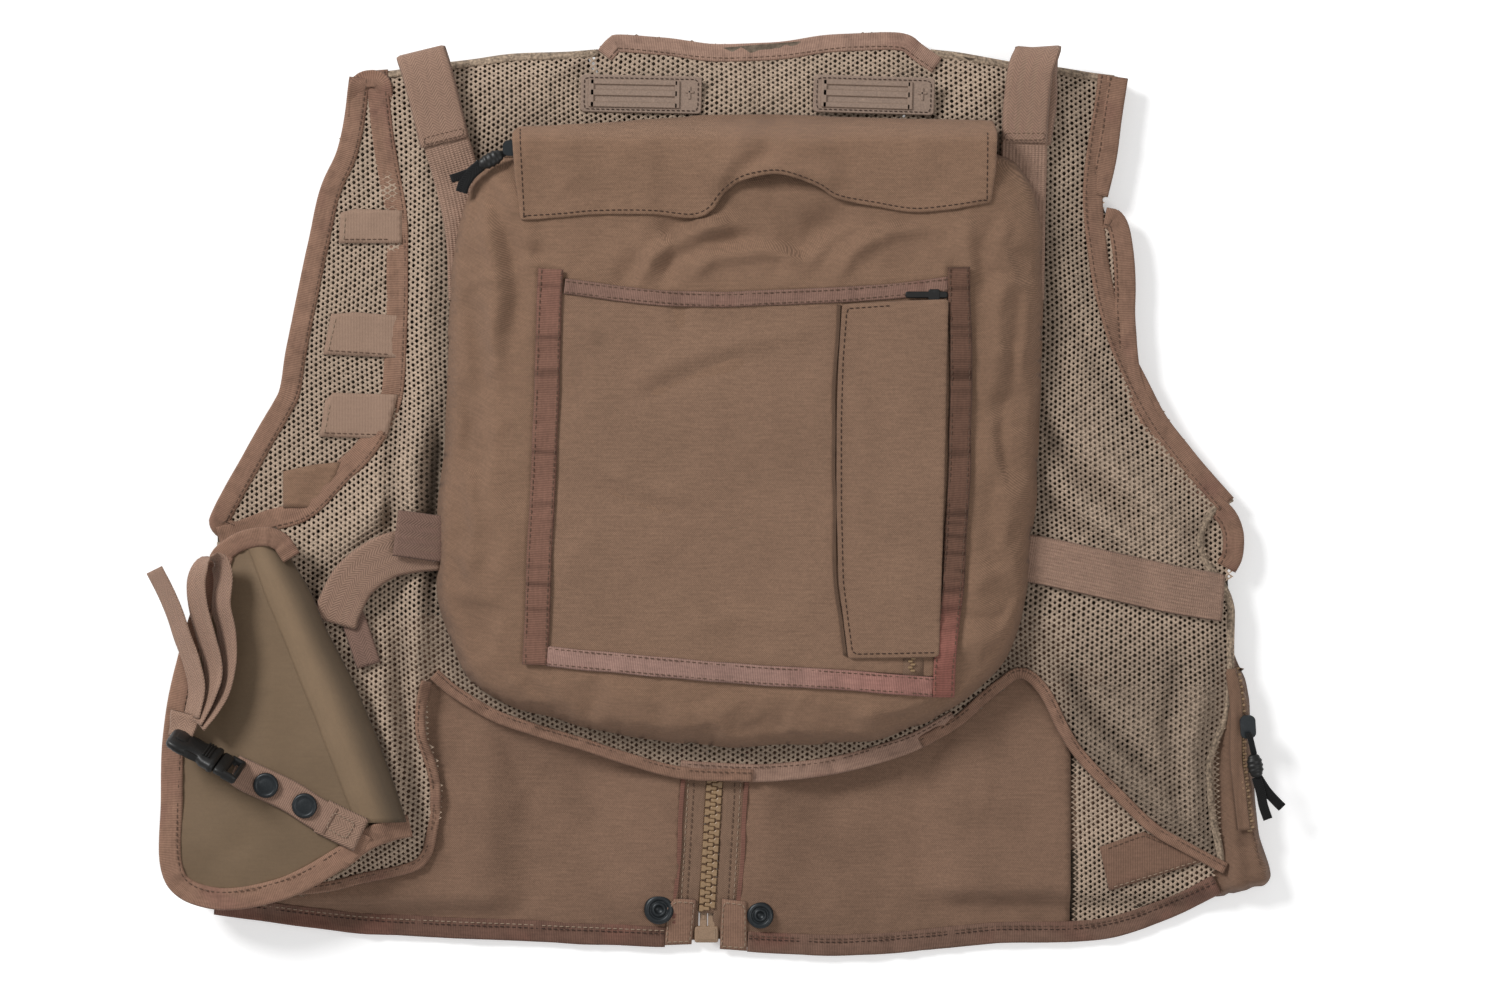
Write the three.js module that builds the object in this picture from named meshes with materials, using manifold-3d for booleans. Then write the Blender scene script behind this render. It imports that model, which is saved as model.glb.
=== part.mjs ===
// A mesh-and-twill fishing vest with a large back pouch, lying face down and zipped shut.
// Millimetres. +X is the wearer's right, +Y runs up to the collar and +Z points up, away from the
// surface that the vest lies on. The origin ends up at the centre of the base of its bounding box.
import * as THREE from "three";
import { mergeVertices } from "three/addons/utils/BufferGeometryUtils.js";
import Module from "manifold-3d";

const wasm = await Module();
wasm.setup();

// Driving dimensions.
const GAP = 0.3; // air between neighbouring pieces
const CLOTH = 2; // a panel with its seam allowances
const TRIM = 1; // binding tape and patches
const BINDING = 12; // width of the folded binding that shows
const HEM_BINDING = 7; // the same on the short back hem, which curls under
const WEBBING = 25; // shoulder and waist webbing
const NARROW_WEBBING = 19; // side strap webbing
const STRAP = 1.5; // thickness of webbing
const POCKET_DEPTH = 9.7; // front cargo pockets, flattened under the vest
const TORSO_GAP = 8; // between the front and the back panels
const POUCH_DEPTH = 15.4; // height of the back pouch's gusset
const SHOULDER_ROLL = 6; // thickness of the fold from front to back over the shoulder
const ZIP_PITCH = 4.2; // one tooth of the main zip
const ZIP_CHAIN = 9; // width of the closed chain
const ZIP_TAPE = 19; // from the chain's centre to the tape's sewn edge
const ZIP_LEAN = 0.06; // the zip wanders to the wearer's right as it goes up
const HEM_Y = -232;
const ZIP_TOP_Y = 118;
const TWILL_TOP_Y = -60; // seam between chest mesh and lower twill

// Levels, from the surface up.
const FRONT_Z = POCKET_DEPTH + GAP;
const ON_FRONT_Z = FRONT_Z + CLOTH + GAP;
const BACK_Z = FRONT_Z + CLOTH + TORSO_GAP;
const ON_BACK_Z = BACK_Z + CLOTH + GAP;
const POUCH_Z = ON_BACK_Z + POUCH_DEPTH + GAP;
const ON_POUCH_Z = POUCH_Z + CLOTH + GAP;
const POCKET_FRONT = 3; // thickness of the flat pocket on the pouch
const ON_POCKET_Z = ON_POUCH_Z + POCKET_FRONT + GAP;

const material = (color, roughness, metalness = 0) =>
  new THREE.MeshStandardMaterial({ color, roughness, metalness });
const TWILL = material(0x83684f, 0.9);
const MESH = material(0x8f7d68, 0.95);
const TAPE = material(0x80604e, 0.85);
const PINK_TAPE = material(0x8d6a5f, 0.85);
const WEB = material(0x94755f, 0.8);
const PADDED = material(0x70604a, 0.8);
const ZIP = material(0x84694a, 0.5);
const RUBBER = material(0x86705f, 0.6);
const BLACK = material(0x1e1d1b, 0.45);
const SNAP = material(0x282c2e, 0.35, 0.6);

const vest = new THREE.Group();

function add(name, geometry, look, z = 0, parent = vest) {
  const mesh = new THREE.Mesh(geometry, look);
  mesh.name = name;
  mesh.position.z = z;
  parent.add(mesh);
  return mesh;
}

const vectors = (points) => points.map(([x, y]) => new THREE.Vector2(x, y));
const outline = (points) => new THREE.Shape(vectors(points));
const smooth = (points, steps) =>
  new THREE.SplineCurve(vectors(points)).getPoints(steps).map((p) => [p.x, p.y]);
const extrude = (shape, depth) =>
  new THREE.ExtrudeGeometry(shape, { depth, bevelEnabled: false, curveSegments: 6 });

function rectangle(x0, y0, x1, y1) {
  return [[x0, y0], [x1, y0], [x1, y1], [x0, y1]];
}

function roundedRectangle(x0, y0, x1, y1, r) {
  const shape = new THREE.Shape();
  shape.absarc(x1 - r, y1 - r, r, 0, Math.PI / 2);
  shape.absarc(x0 + r, y1 - r, r, Math.PI / 2, Math.PI);
  shape.absarc(x0 + r, y0 + r, r, Math.PI, 1.5 * Math.PI);
  shape.absarc(x1 - r, y0 + r, r, 1.5 * Math.PI, 2 * Math.PI);
  return shape;
}

// The points of a line moved sideways, positive to the left of its direction.
function beside(line, distance) {
  return line.map(([x, y], i) => {
    const [ax, ay] = line[Math.max(i - 1, 0)];
    const [bx, by] = line[Math.min(i + 1, line.length - 1)];
    const length = Math.hypot(bx - ax, by - ay);
    return [x - ((by - ay) / length) * distance, y + ((bx - ax) / length) * distance];
  });
}

// A ribbon that lies flat along a smooth line, from one sideways distance to another.
function ribbon(points, from, to, thickness, steps = 14) {
  const line = smooth(points, steps);
  return extrude(outline([...beside(line, from), ...beside(line, to).reverse()]), thickness);
}

// Joining and cutting with manifold-3d.
function solid(geometry) {
  const bare = geometry.clone();
  bare.deleteAttribute("normal");
  bare.deleteAttribute("uv");
  const merged = mergeVertices(bare, 1e-4);
  return new wasm.Manifold(
    new wasm.Mesh({
      numProp: 3,
      vertProperties: new Float32Array(merged.attributes.position.array),
      triVerts: new Uint32Array(merged.index.array),
    }),
  );
}

function geometryOf(manifold) {
  const { vertProperties, triVerts } = manifold.getMesh();
  return new THREE.BufferGeometry()
    .setAttribute("position", new THREE.BufferAttribute(vertProperties, 3))
    .setIndex(new THREE.BufferAttribute(triVerts, 1));
}

const join = (...geometries) =>
  geometryOf(geometries.map(solid).reduce((whole, next) => whole.add(next)));
const cut = (geometry, ...tools) =>
  geometryOf(tools.map(solid).reduce((rest, tool) => rest.subtract(tool), solid(geometry)));

function block(x0, y0, z0, x1, y1, z1) {
  return extrude(outline(rectangle(x0, y0, x1, y1)), z1 - z0).translate(0, 0, z0);
}

// Where the front opening's zip runs.
const zipX = (y) => -8 + (y - HEM_Y) * ZIP_LEAN;

// Edges that several pieces share.
const LEFT_FRONT_ARMHOLE = [
  [-192, 216], [-195, 192], [-204, 160], [-216, 125], [-227, 57], [-250, 10], [-263, -10],
];
const RIGHT_FRONT_ARMHOLE = [
  [213, 213], [209, 172], [207, 154], [216, 140], [219, 88], [231, 55], [245, 30], [265, 0],
];
const LEFT_BACK_ARMHOLE = [
  [-187, 218], [-185, 182], [-178, 140], [-174, 109], [-174, 62], [-185, 31], [-203, 10], [-226, -5], [-256, -14],
];
const RIGHT_BACK_ARMHOLE = [
  [211, 218], [206, 200], [200, 177], [203, 150], [208, 125], [217, 86], [231, 60], [244, 36], [262, 6],
];
const BACK_HEM = [
  [-146, -97], [-130, -110], [-112, -120], [-83, -130], [-52, -135], [-10, -142], [31, -145], [73, -141],
  [104, -132], [125, -122], [148, -107], [160, -101], [169, -106], [180, -127], [213, -156], [239, -174], [262, -191],
];
const LEFT_HEM = [[-265, -217], [-192, -226], [-114, -229], [-27, HEM_Y]];
const RIGHT_HEM = [[13, -236], [68, -237], [146, -230], [198, -229], [239, -216], [262, -203]];
const LEFT_SHOULDER = [[-66, 236], [-125, 228], [-186, 223]];
const RIGHT_SHOULDER = [[110, 235], [151, 230], [208, 222]];

function frontPanels() {
  const inner = (y, side) => [zipX(y) + side * ZIP_TAPE, y];
  add(
    "front_mesh_left",
    extrude(
      outline([
        [-70, 228], [-125, 221], [-186, 216], ...smooth(LEFT_FRONT_ARMHOLE, 12).slice(1),
        [-262, TWILL_TOP_Y], inner(TWILL_TOP_Y, -1), inner(ZIP_TOP_Y, -1), [-38, 170], [-62, 212],
      ]),
      CLOTH,
    ),
    MESH,
    FRONT_Z,
  );
  add(
    "front_mesh_right",
    extrude(
      outline([
        inner(ZIP_TOP_Y, 1), inner(TWILL_TOP_Y, 1), [181.7, TWILL_TOP_Y], [181.7, -228],
        [200, -227], [239, -214], [261, -202], [266, TWILL_TOP_Y], [270, -20],
        ...smooth(RIGHT_FRONT_ARMHOLE, 12).reverse(), [150, 221.5], [113, 227], [100, 205], [66, 160],
      ]),
      CLOTH,
    ),
    MESH,
    FRONT_Z,
  );
  const seam = TWILL_TOP_Y - GAP;
  add(
    "front_twill_left",
    extrude(
      outline([inner(seam, -1), [-262, seam], [-263, -216], [-192, -225], [-114, -228], inner(HEM_Y, -1)]),
      CLOTH,
    ),
    TWILL,
    FRONT_Z,
  );
  add(
    "front_twill_right",
    extrude(
      outline([inner(seam, 1), inner(-235, 1), [68, -236], [146, -229], [181.4, -228], [181.4, seam]]),
      CLOTH,
    ),
    TWILL,
    FRONT_Z,
  );
  add("hem_binding_left", ribbon(LEFT_HEM, -1, BINDING - 1, TRIM, 8), TAPE, ON_FRONT_Z);
  add("hem_binding_right", ribbon(RIGHT_HEM, -1, BINDING - 1, TRIM, 12), TAPE, ON_FRONT_Z);
  add(
    "side_patch",
    extrude(outline([[199, -181], [226, -172], [255, -188], [204, -204]]), TRIM),
    WEB,
    ON_FRONT_Z,
  );
  const patches = [["top", -191, 132, 22], ["middle", -206, 74, 34], ["bottom", -209, 31, 36]];
  for (const [place, x, y, width] of patches) {
    add(`loop_patch_${place}`, extrude(roundedRectangle(x, y, x + width, y + 24, 3), TRIM), WEB, ON_FRONT_Z);
  }
}

// One stringer of the main zip: a tape with a comb of teeth on its inner edge. side is -1 or 1.
function zipHalf(side) {
  const teeth = Math.floor((ZIP_TOP_Y - HEM_Y - 14) / ZIP_PITCH);
  const firstY = 12 + (side > 0 ? ZIP_PITCH / 2 : 0);
  const back = (side * ZIP_CHAIN) / 2;
  const root = back - side * 2.4;
  const tip = -side * 0.9;
  const comb = [[back, firstY - 1.2]];
  for (let i = 0; i < teeth; i++) {
    const y = firstY + i * ZIP_PITCH;
    comb.push([root, y - 0.9], [tip, y - 0.7], [tip, y + 0.7], [root, y + 0.9]);
  }
  comb.push([back, firstY + teeth * ZIP_PITCH]);
  const chain = extrude(outline(side > 0 ? comb : comb.reverse()), 3).translate(0, 0, -1.5);
  const near = back - side * 1.6;
  const far = side * (ZIP_TAPE - GAP);
  const length = ZIP_TOP_Y - HEM_Y;
  const tape = block(Math.min(near, far), 1, -0.5, Math.max(near, far), length, 0.5);
  const stop = side < 0 ? block(-5, 0, -2, 4.5, 10, 2) : block(2.6, 10.3, -1.2, 4.6, 14, 1.2);
  return join(tape, chain, stop);
}

function mainZip() {
  const zip = new THREE.Group();
  zip.position.set(zipX(HEM_Y), HEM_Y, FRONT_Z + CLOTH / 2);
  zip.rotation.z = -Math.atan(ZIP_LEAN);
  vest.add(zip);
  const shift = 0.4; // the chest panels' edges lean with the zip, and the tapes keep clear of them
  add("front_zip_half_left", zipHalf(-1), ZIP, 0, zip).position.y = shift;
  const right = add("front_zip_half_right", cut(zipHalf(1), block(-6, -1, -3, 5, 10.3, 3)), ZIP, 0, zip);
  right.position.y = shift;
  const sliderY = ZIP_TOP_Y - HEM_Y - 12;
  const body = join(
    extrude(roundedRectangle(-6, 0, 6, 13, 4), 1.6).translate(0, 0, -3.6),
    block(-1.5, 4, -5, 1.5, 9, -3.5),
  );
  add("front_zip_slider", body, ZIP, 0, zip).position.y = sliderY;
  const pullPlate = extrude(roundedRectangle(-4, -28, 4, 0, 3.5), 1.8).translate(0, 0, -1.8);
  const hanging = add("front_zip_pull", pullPlate, BLACK, -5.6, zip);
  hanging.position.y = sliderY + 6;
  hanging.rotation.x = 0.115;
}

// The female half of a press stud, seen as a ring with a socket in it.
function snapRing(radius, height) {
  const profile = [
    [0, 0], [radius, 0], [radius, 0.45 * height], [0.82 * radius, height], [0.6 * radius, 0.7 * height],
    [0.27 * radius + 1.2, height], [1.9, 0.9], [0, 0.9],
  ];
  return new THREE.LatheGeometry(vectors(profile), 20).rotateX(Math.PI / 2);
}

// A domed stud cap.
function snapCap(radius, height) {
  const profile = [[0, 0], [radius, 0], [radius, 0.35 * height], [0.72 * radius, 0.85 * height], [0, height]];
  return new THREE.LatheGeometry(vectors(profile), 20).rotateX(Math.PI / 2);
}

function hemSnaps() {
  for (const [side, x, y] of [["left", -33, -214], ["right", 21, -217]]) {
    const snap = add(`hem_snap_${side}`, snapRing(7.6, 2.8), SNAP, ON_FRONT_Z + TRIM + GAP);
    snap.position.x = x;
    snap.position.y = y;
  }
}

// The right cargo pocket bulges past the side of the vest, and its zip runs along that bulge.
function cargoPockets() {
  add("cargo_pocket_left", extrude(roundedRectangle(-262, -212, -116, -84, 12), POCKET_DEPTH), TWILL);
  const flat = [[118, -84], [263, -78], [273, -100], [280, -156], [290, -188], [288, -201], [252, -207], [118, -207]];
  const bulge = [[268.8, -80], [274, -99], [280, -156], [290, -188], [288, -201], [272, -202], [269.5, -150]];
  const bulgeTop = 17;
  add(
    "cargo_pocket_right",
    join(extrude(outline(flat), POCKET_DEPTH), extrude(outline(bulge), bulgeTop)),
    TWILL,
  );
  const zipPath = [[271.6, -86], [274, -110], [276, -140], [280, -172]];
  add("cargo_zip", ribbon(zipPath, -3.2, 2.6, 1.4, 6), TAPE, bulgeTop + GAP);
  const slider = new THREE.Group();
  slider.position.set(274.6, -118, bulgeTop + 2 * GAP + 1.4);
  slider.rotation.z = 0.06;
  vest.add(slider);
  add("cargo_zip_slider", extrude(roundedRectangle(-4, -6, 4, 6, 3), 3.6), SNAP, 0, slider);
  const pull = join(
    extrude(roundedRectangle(-3, -18, 3, -1, 2.5), 2.4),
    extrude(roundedRectangle(-4.5, -31, 4.5, -15, 4), 3.2),
    extrude(outline([[-2.5, -28], [2.5, -28], [9, -47], [-1, -48]]), 1.6),
  );
  add("cargo_zip_pull", pull, BLACK, 3.6 + GAP, slider);
}

function backPanel() {
  const shape = outline([
    [-64.4, 229], [-63, 236], [-57, 241], [-10, 238.5], [40, 240], [75, 243], [94, 243], [105, 237], [108.4, 228],
    [151, 223], [205, 215], ...smooth(RIGHT_BACK_ARMHOLE, 14).slice(1), [268, -6], [270, -20],
    [267, -52], [265, -94], [256, -140], ...[...BACK_HEM].reverse(), [-158, -100], [-150, -135],
    [-147, -156], [-153, -187], [-172, -200], [-218, -206], [-260, -208], [-262, -100], [-258, -30],
    ...smooth(LEFT_BACK_ARMHOLE, 14).reverse().slice(0, -1), [-183, 216], [-125, 221.5],
  ]);
  add("back_mesh", extrude(shape, CLOTH), MESH, BACK_Z);
  add("back_hem_binding", ribbon(BACK_HEM, 0, HEM_BINDING, TRIM, 26), TAPE, ON_BACK_Z);
  const collar = [[-63, 236], [-55, 241], [-10, 238.5], [40, 240], [75, 243], [94, 243], [106, 236]];
  add("collar_binding", ribbon(collar, 0, -10, TRIM, 14), TAPE, ON_BACK_Z);
  add("shoulder_seam_left", ribbon(LEFT_SHOULDER, 0, SHOULDER_ROLL, BACK_Z + CLOTH, 4), MESH);
  add("shoulder_seam_right", ribbon(RIGHT_SHOULDER, 0, -SHOULDER_ROLL, BACK_Z + CLOTH, 4), MESH);
  const seamHeight = TORSO_GAP - 2 * GAP;
  const leftSide = [[-259, -26], [-259, -110], [-259, -205]];
  const rightSide = [[265, -14], [264, -52], [261, -94], [253, -140], [257, -183]];
  add("side_seam_left", ribbon(leftSide, -2.5, 2.5, seamHeight, 4), MESH, ON_FRONT_Z);
  add("side_seam_right", ribbon(rightSide, -2, 2, seamHeight, 8), MESH, ON_FRONT_Z);
}

// One armhole's binding runs round the back edge and the front edge, and turns over at both ends.
function armholeBinding(side, backEdge, frontEdge, inward, turns) {
  const rise = ON_BACK_Z - ON_FRONT_Z;
  const back = ribbon(backEdge, -3 * inward, (BINDING - 2) * inward, TRIM, 16).translate(0, 0, rise);
  const front = ribbon(frontEdge, -3 * inward, (BINDING - 2) * inward, TRIM, 16);
  const posts = turns.map(([x, y]) => block(x - 1.4, y - 1.4, 0, x + 1.4, y + 1.4, rise + TRIM));
  add(`armhole_binding_${side}`, join(back, front, ...posts), TAPE, ON_FRONT_Z);
}

const POUCH_SIDES = [
  [-118, 172], [-132, 140], [-138, 78], [-142, 42], [-146, -10], [-146, -52], [-140, -78], [-128, -100],
  [-104, -114], [-62, -124], [-10, -127], [42, -127], [83, -125], [120, -112], [143, -97], [154, -73],
  [161, -36], [165, 26], [167, 78], [165, 135], [156, 161], [148, 175],
];
const POUCH_TOP_Y = 177;

function pouch() {
  const wall = smooth(POUCH_SIDES, 42);
  add("pouch_gusset", ribbon(POUCH_SIDES, 0, 3, POUCH_DEPTH, 42), TWILL, ON_BACK_Z);
  add("pouch_front", extrude(outline([...wall, [140, POUCH_TOP_Y], [-112, POUCH_TOP_Y]]), CLOTH), TWILL, POUCH_Z);
  add("pouch_zip", block(-112, POUCH_TOP_Y + GAP, 0, 142, POUCH_TOP_Y + 8, 1.6), TAPE, POUCH_Z);
  const slider = new THREE.Group();
  slider.position.set(-106, POUCH_TOP_Y + 4.6, POUCH_Z + 1.6 + GAP);
  vest.add(slider);
  add("pouch_zip_slider", extrude(roundedRectangle(-6, -4, 6, 4, 3), 3.2), SNAP, 0, slider);
  const pull = join(
    extrude(roundedRectangle(0, -3, 17, 3, 2.5), 2.2),
    extrude(roundedRectangle(5, -4.5, 15, 4.5, 4), 3),
    extrude(outline([[14, -2.5], [29, -7], [30, 3], [14, 2.5]]), 1.4),
  );
  const swing = add("pouch_zip_pull", pull, BLACK, 0.4, slider);
  swing.position.x = -6.5;
  swing.position.y = -2;
  swing.rotation.z = Math.PI + 0.5;
}

const FLAP_Z = POUCH_Z + 8.4;

// The pouch's rain flap, sewn to the back above the pouch. Its lower edge is gathered up in the middle.
function pouchFlap() {
  const lower = smooth([[26, 166], [10, 160], [-3, 150], [-12, 147]], 6);
  const plan = outline([
    [-108, 192], [-106, 146], [-60, 147], ...lower.reverse(), [52, 162], [78, 154], [104, 149], [140, 153],
    [145, 193], [140, 199], [-104, 199],
  ]);
  const sewnEdge = block(-104, 197.2, ON_BACK_Z - FLAP_Z, 140, 199, CLOTH - 0.5);
  add("pouch_flap", join(extrude(plan, CLOTH - 0.5), sewnEdge), TWILL, FLAP_Z);
}

const PLACKET_LEAN = 0.019;
const PLACKET_Z = ON_POCKET_Z + 6;

function pouchPocket() {
  add(
    "pocket_front",
    extrude(outline([[-82, 118], [117, 112], [119, -90], [-90, -78]]), POCKET_FRONT),
    TWILL,
    ON_POUCH_Z,
  );
  const tape = (name, points, look) => add(name, extrude(outline(points), TRIM), look, ON_POCKET_Z);
  tape("pocket_tape_left", [[-92, 120], [-79, 120], [-88, -86], [-101, -84]], TAPE);
  tape("pocket_tape_right", [[117, 121], [130, 121], [124, -101], [109, -101]], TAPE);
  tape("pocket_tape_top", [[-78, 114], [-78, 106], [20, 101], [116, 105], [116, 112], [20, 110]], PINK_TAPE);
  tape("pocket_tape_bottom", [[-87, -80], [-87, -90], [-10, -95], [108, -100], [108, -89], [-10, -85]], PINK_TAPE);

  // The pocket's own zip leans with the placket that hides it.
  const opening = new THREE.Group();
  opening.position.set(100.6, 0, ON_POCKET_Z);
  opening.rotation.z = -PLACKET_LEAN;
  vest.add(opening);
  add("pocket_zip", block(-4, -88, 0, 4, 100, 1.5), TAPE, 0, opening);
  const slider = join(
    extrude(roundedRectangle(-4, -5, 4, 5, 3), 3),
    extrude(roundedRectangle(-5, 3.4, 12, 8, 2), 2).translate(0, 0, 1),
  );
  add("pocket_zip_slider", slider, BLACK, 1.5 + GAP, opening).position.y = 94;

  const hinge = (x, y) => x + (y - 103.5) * PLACKET_LEAN;
  const top = 103.5;
  const bottom = -81;
  const panel = [[62, 102], [118, top], [hinge(118, bottom), bottom], [68, -83], [62, -40], [61, 30]];
  const root = [[116.5, top], [118, top], [hinge(118, bottom), bottom], [hinge(116.5, bottom), bottom]];
  const rise = PLACKET_Z - ON_POCKET_Z - TRIM - GAP;
  const placket = join(
    extrude(outline(panel), CLOTH - 0.5),
    extrude(outline(root), rise + 0.5).translate(0, 0, -rise),
  );
  add("placket_flap", placket, TWILL, PLACKET_Z);
}

// A moulded tab with two lashing slots, sewn on above the flap.
function lashTab(name, x, y, turn) {
  const slot = (y0) => {
    const hole = new THREE.Path();
    hole.setFromPoints(vectors(rectangle(-24, y0, 17, y0 + 2.2)));
    return hole;
  };
  const base = roundedRectangle(-31, -9.5, 31, 9.5, 2);
  base.holes.push(slot(-0.4), slot(-6.6));
  const bar = (y0) => extrude(outline(rectangle(-25, y0, 18, y0 + 3.2)), 1.4).translate(0, 0, 1.2);
  const tab = add(name, join(extrude(base, 1.6), bar(-4), bar(2.4)), RUBBER, ON_BACK_Z);
  tab.position.x = x;
  tab.position.y = y;
  tab.rotation.z = turn;
}

// A loop of webbing, sewn down at its near end, that lies over the shoulder.
function shoulderLoop(side, x, y, turn, length) {
  const height = 8;
  const ring = roundedRectangle(0, 0, length, height, height / 2 - 0.1);
  const inner = roundedRectangle(STRAP, STRAP, length - STRAP, height - STRAP, height / 2 - STRAP - 0.1);
  ring.holes.push(inner);
  const geometry = extrude(ring, WEBBING).translate(0, 0, -WEBBING / 2).rotateX(Math.PI / 2);
  const loop = add(`shoulder_loop_${side}`, geometry, WEB, ON_BACK_Z);
  loop.position.x = x;
  loop.position.y = y;
  loop.rotation.z = turn;
}

function waistStraps() {
  const right = [[167, -34], [200, -40], [235, -49], [263, -54]];
  add("waist_strap_right", ribbon(right, -WEBBING / 2, WEBBING / 2, STRAP, 6), WEB, ON_BACK_Z);
  const left = [[-149, -29], [-166, -31], [-180, -40], [-188, -56], [-181, -74]];
  add("waist_strap_left", ribbon(left, -9, 9, STRAP, 12), WEB, ON_BACK_Z);
}

// The padded side flap is folded over on itself. The fold is a roll along this line.
const FOLD_FROM = new THREE.Vector2(-232, -26);
const FOLD_TO = new THREE.Vector2(-168, -169);
const ROLL = 6.5;
const PAD = 3;
const ROLL_Z = ON_BACK_Z + 0.4 + ROLL;
const LEAF_Z = ROLL_Z + ROLL - PAD;

function sideFlap() {
  const along = FOLD_TO.clone().sub(FOLD_FROM);
  const roll = new THREE.CylinderGeometry(ROLL, ROLL, along.length(), 16);
  roll.rotateZ(along.angle() - Math.PI / 2);
  roll.translate((FOLD_FROM.x + FOLD_TO.x) / 2, (FOLD_FROM.y + FOLD_TO.y) / 2, ROLL_Z - ON_BACK_Z);
  const base = extrude(
    outline([[-234, -30], [-172, -169], [-184, -182], [-256, -200], [-258, -180], [-258, -60], [-246, -28]]),
    PAD,
  );
  add("side_flap_base", join(base, roll), PADDED, ON_BACK_Z);
  const lower = smooth([[-177, -181], [-198, -190], [-218, -200], [-268, -210], [-284, -203], [-289, -186]], 12);
  const leaf = outline([
    [-239, -29], [-175, -172], ...lower, [-288, -135], [-284, -104], [-278, -78], [-268, -45], [-261, -25], [-249, -20],
  ]);
  add("side_flap", extrude(leaf, PAD), PADDED, LEAF_Z);
}

// The side-release buckle lies nearly on its edge, in line with the tab that it is sewn to.
const ON_LEAF_Z = LEAF_Z + PAD + GAP;
const TAB_ANGLE = THREE.MathUtils.degToRad(152);
const TAB_FROM = [-188, -172];
const TAB_LENGTH = 66;
const BUCKLE_ROLL = THREE.MathUtils.degToRad(66);
const SOCKET = { length: 28, width: 22, height: 8.4, wall: 1.4 };
const PLUG_BASE = 13;

function buckleTab() {
  const tab = new THREE.Group();
  tab.position.set(...TAB_FROM, ON_LEAF_Z);
  tab.rotation.z = TAB_ANGLE;
  vest.add(tab);
  const half = NARROW_WEBBING / 2;
  const tabShape = outline([[0, -half], [TAB_LENGTH, -half], [TAB_LENGTH, half], [0, half]]);
  add("snap_tab", extrude(tabShape, 2.4), WEB, 0, tab);
  for (const [place, x] of [["inner", 32], ["outer", 56]]) {
    add(`snap_cap_${place}`, snapCap(6.2, 2.8), SNAP, 2.4 + GAP, tab).position.x = x;
  }

  const buckle = new THREE.Group();
  buckle.position.set(TAB_LENGTH + GAP, 0, (SOCKET.width / 2) * Math.sin(BUCKLE_ROLL) + 3);
  buckle.rotation.x = BUCKLE_ROLL;
  tab.add(buckle);
  const { length, width, height, wall } = SOCKET;
  const w = width / 2;
  const h = height / 2;

  // Plug: a slotted bar for the webbing, and a tongue between the two prongs.
  const plug = join(
    cut(
      extrude(roundedRectangle(0, -w, PLUG_BASE, w, 2.5), 6).translate(0, 0, -3),
      block(3, -w + 3, -4, 6.5, w - 3, 4),
    ),
    block(PLUG_BASE - 1, -2.2, -1.2, PLUG_BASE + 17, 2.2, 1.2),
  );
  add("buckle_plug", plug, BLACK, 0, buckle);
  for (const [place, s] of [["left", 1], ["right", -1]]) {
    const prong = [
      [PLUG_BASE + GAP, s * 4.6], [PLUG_BASE + 10, s * 5.2], [PLUG_BASE + 21, s * 5.6],
      [PLUG_BASE + 21, s * 8.2], [PLUG_BASE + 15, s * 8.9], [PLUG_BASE + GAP, s * 6.6],
    ];
    const shape = outline(s > 0 ? prong : prong.reverse());
    add(`buckle_prong_${place}`, extrude(shape, 3.6), BLACK, -1.8, buckle);
  }

  // Socket: a flat tube with a window on each side where the prongs are squeezed, and a webbing slot.
  const from = PLUG_BASE + GAP;
  const shell = extrude(roundedRectangle(from, -w, from + length, w, 4), height).translate(0, 0, -h);
  const tunnel = block(from - 1, -w + wall, -h + wall, from + 23, w - wall, h - wall);
  const windows = block(from + 9, -w - 1, -h + wall, from + 18, w + 1, h - wall);
  const slot = block(from + length - 4, -w + 4, -h - 1, from + length - 1.8, w - 4, h + 1);
  add("buckle_socket", cut(shell, tunnel, windows, slot), BLACK, 0, buckle);
}

// The loose end of the side strap stands on its edge, folded to and fro beside the buckle.
function adjusterStrap() {
  const folds = [
    [-276, -110], [-268, -92], [-258, -62], [-256, -40], [-260, -34], [-264, -40], [-268, -62],
    [-273, -78], [-277, -74], [-280, -56], [-288, -38],
  ];
  add("adjuster_strap", ribbon(folds, -0.8, 0.8, 13, 44), WEB, ON_LEAF_Z);
}

frontPanels();
mainZip();
hemSnaps();
cargoPockets();
backPanel();
armholeBinding("left", LEFT_BACK_ARMHOLE, LEFT_FRONT_ARMHOLE, 1, [[-189.4, 214], [-258.4, -11.4]]);
armholeBinding("right", RIGHT_BACK_ARMHOLE, RIGHT_FRONT_ARMHOLE, -1, [[212.6, 213], [264, 8]]);
pouch();
pouchFlap();
pouchPocket();
lashTab("lash_tab_left", -41, 211, -0.02);
lashTab("lash_tab_right", 80, 210.5, -0.03);
shoulderLoop("left", -141, 182, THREE.MathUtils.degToRad(103), 58);
shoulderLoop("right", 163, 182, THREE.MathUtils.degToRad(88), 56);
waistStraps();
sideFlap();
buckleTab();
adjusterStrap();

// The frame's origin is the centre of the bounding box's base.
vest.updateMatrixWorld(true);
const box = new THREE.Box3().setFromObject(vest, true);
vest.position.set(-(box.min.x + box.max.x) / 2, -(box.min.y + box.max.y) / 2, -box.min.z);

export default vest;
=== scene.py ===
"""A mesh-backed fishing vest that lies face down and zipped shut, with a large pouch on its back."""
import math

import bpy
import numpy as np
from mathutils import Matrix, Vector, noise
from mathutils.bvhtree import BVHTree
from mathutils.geometry import delaunay_2d_cdt


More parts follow.
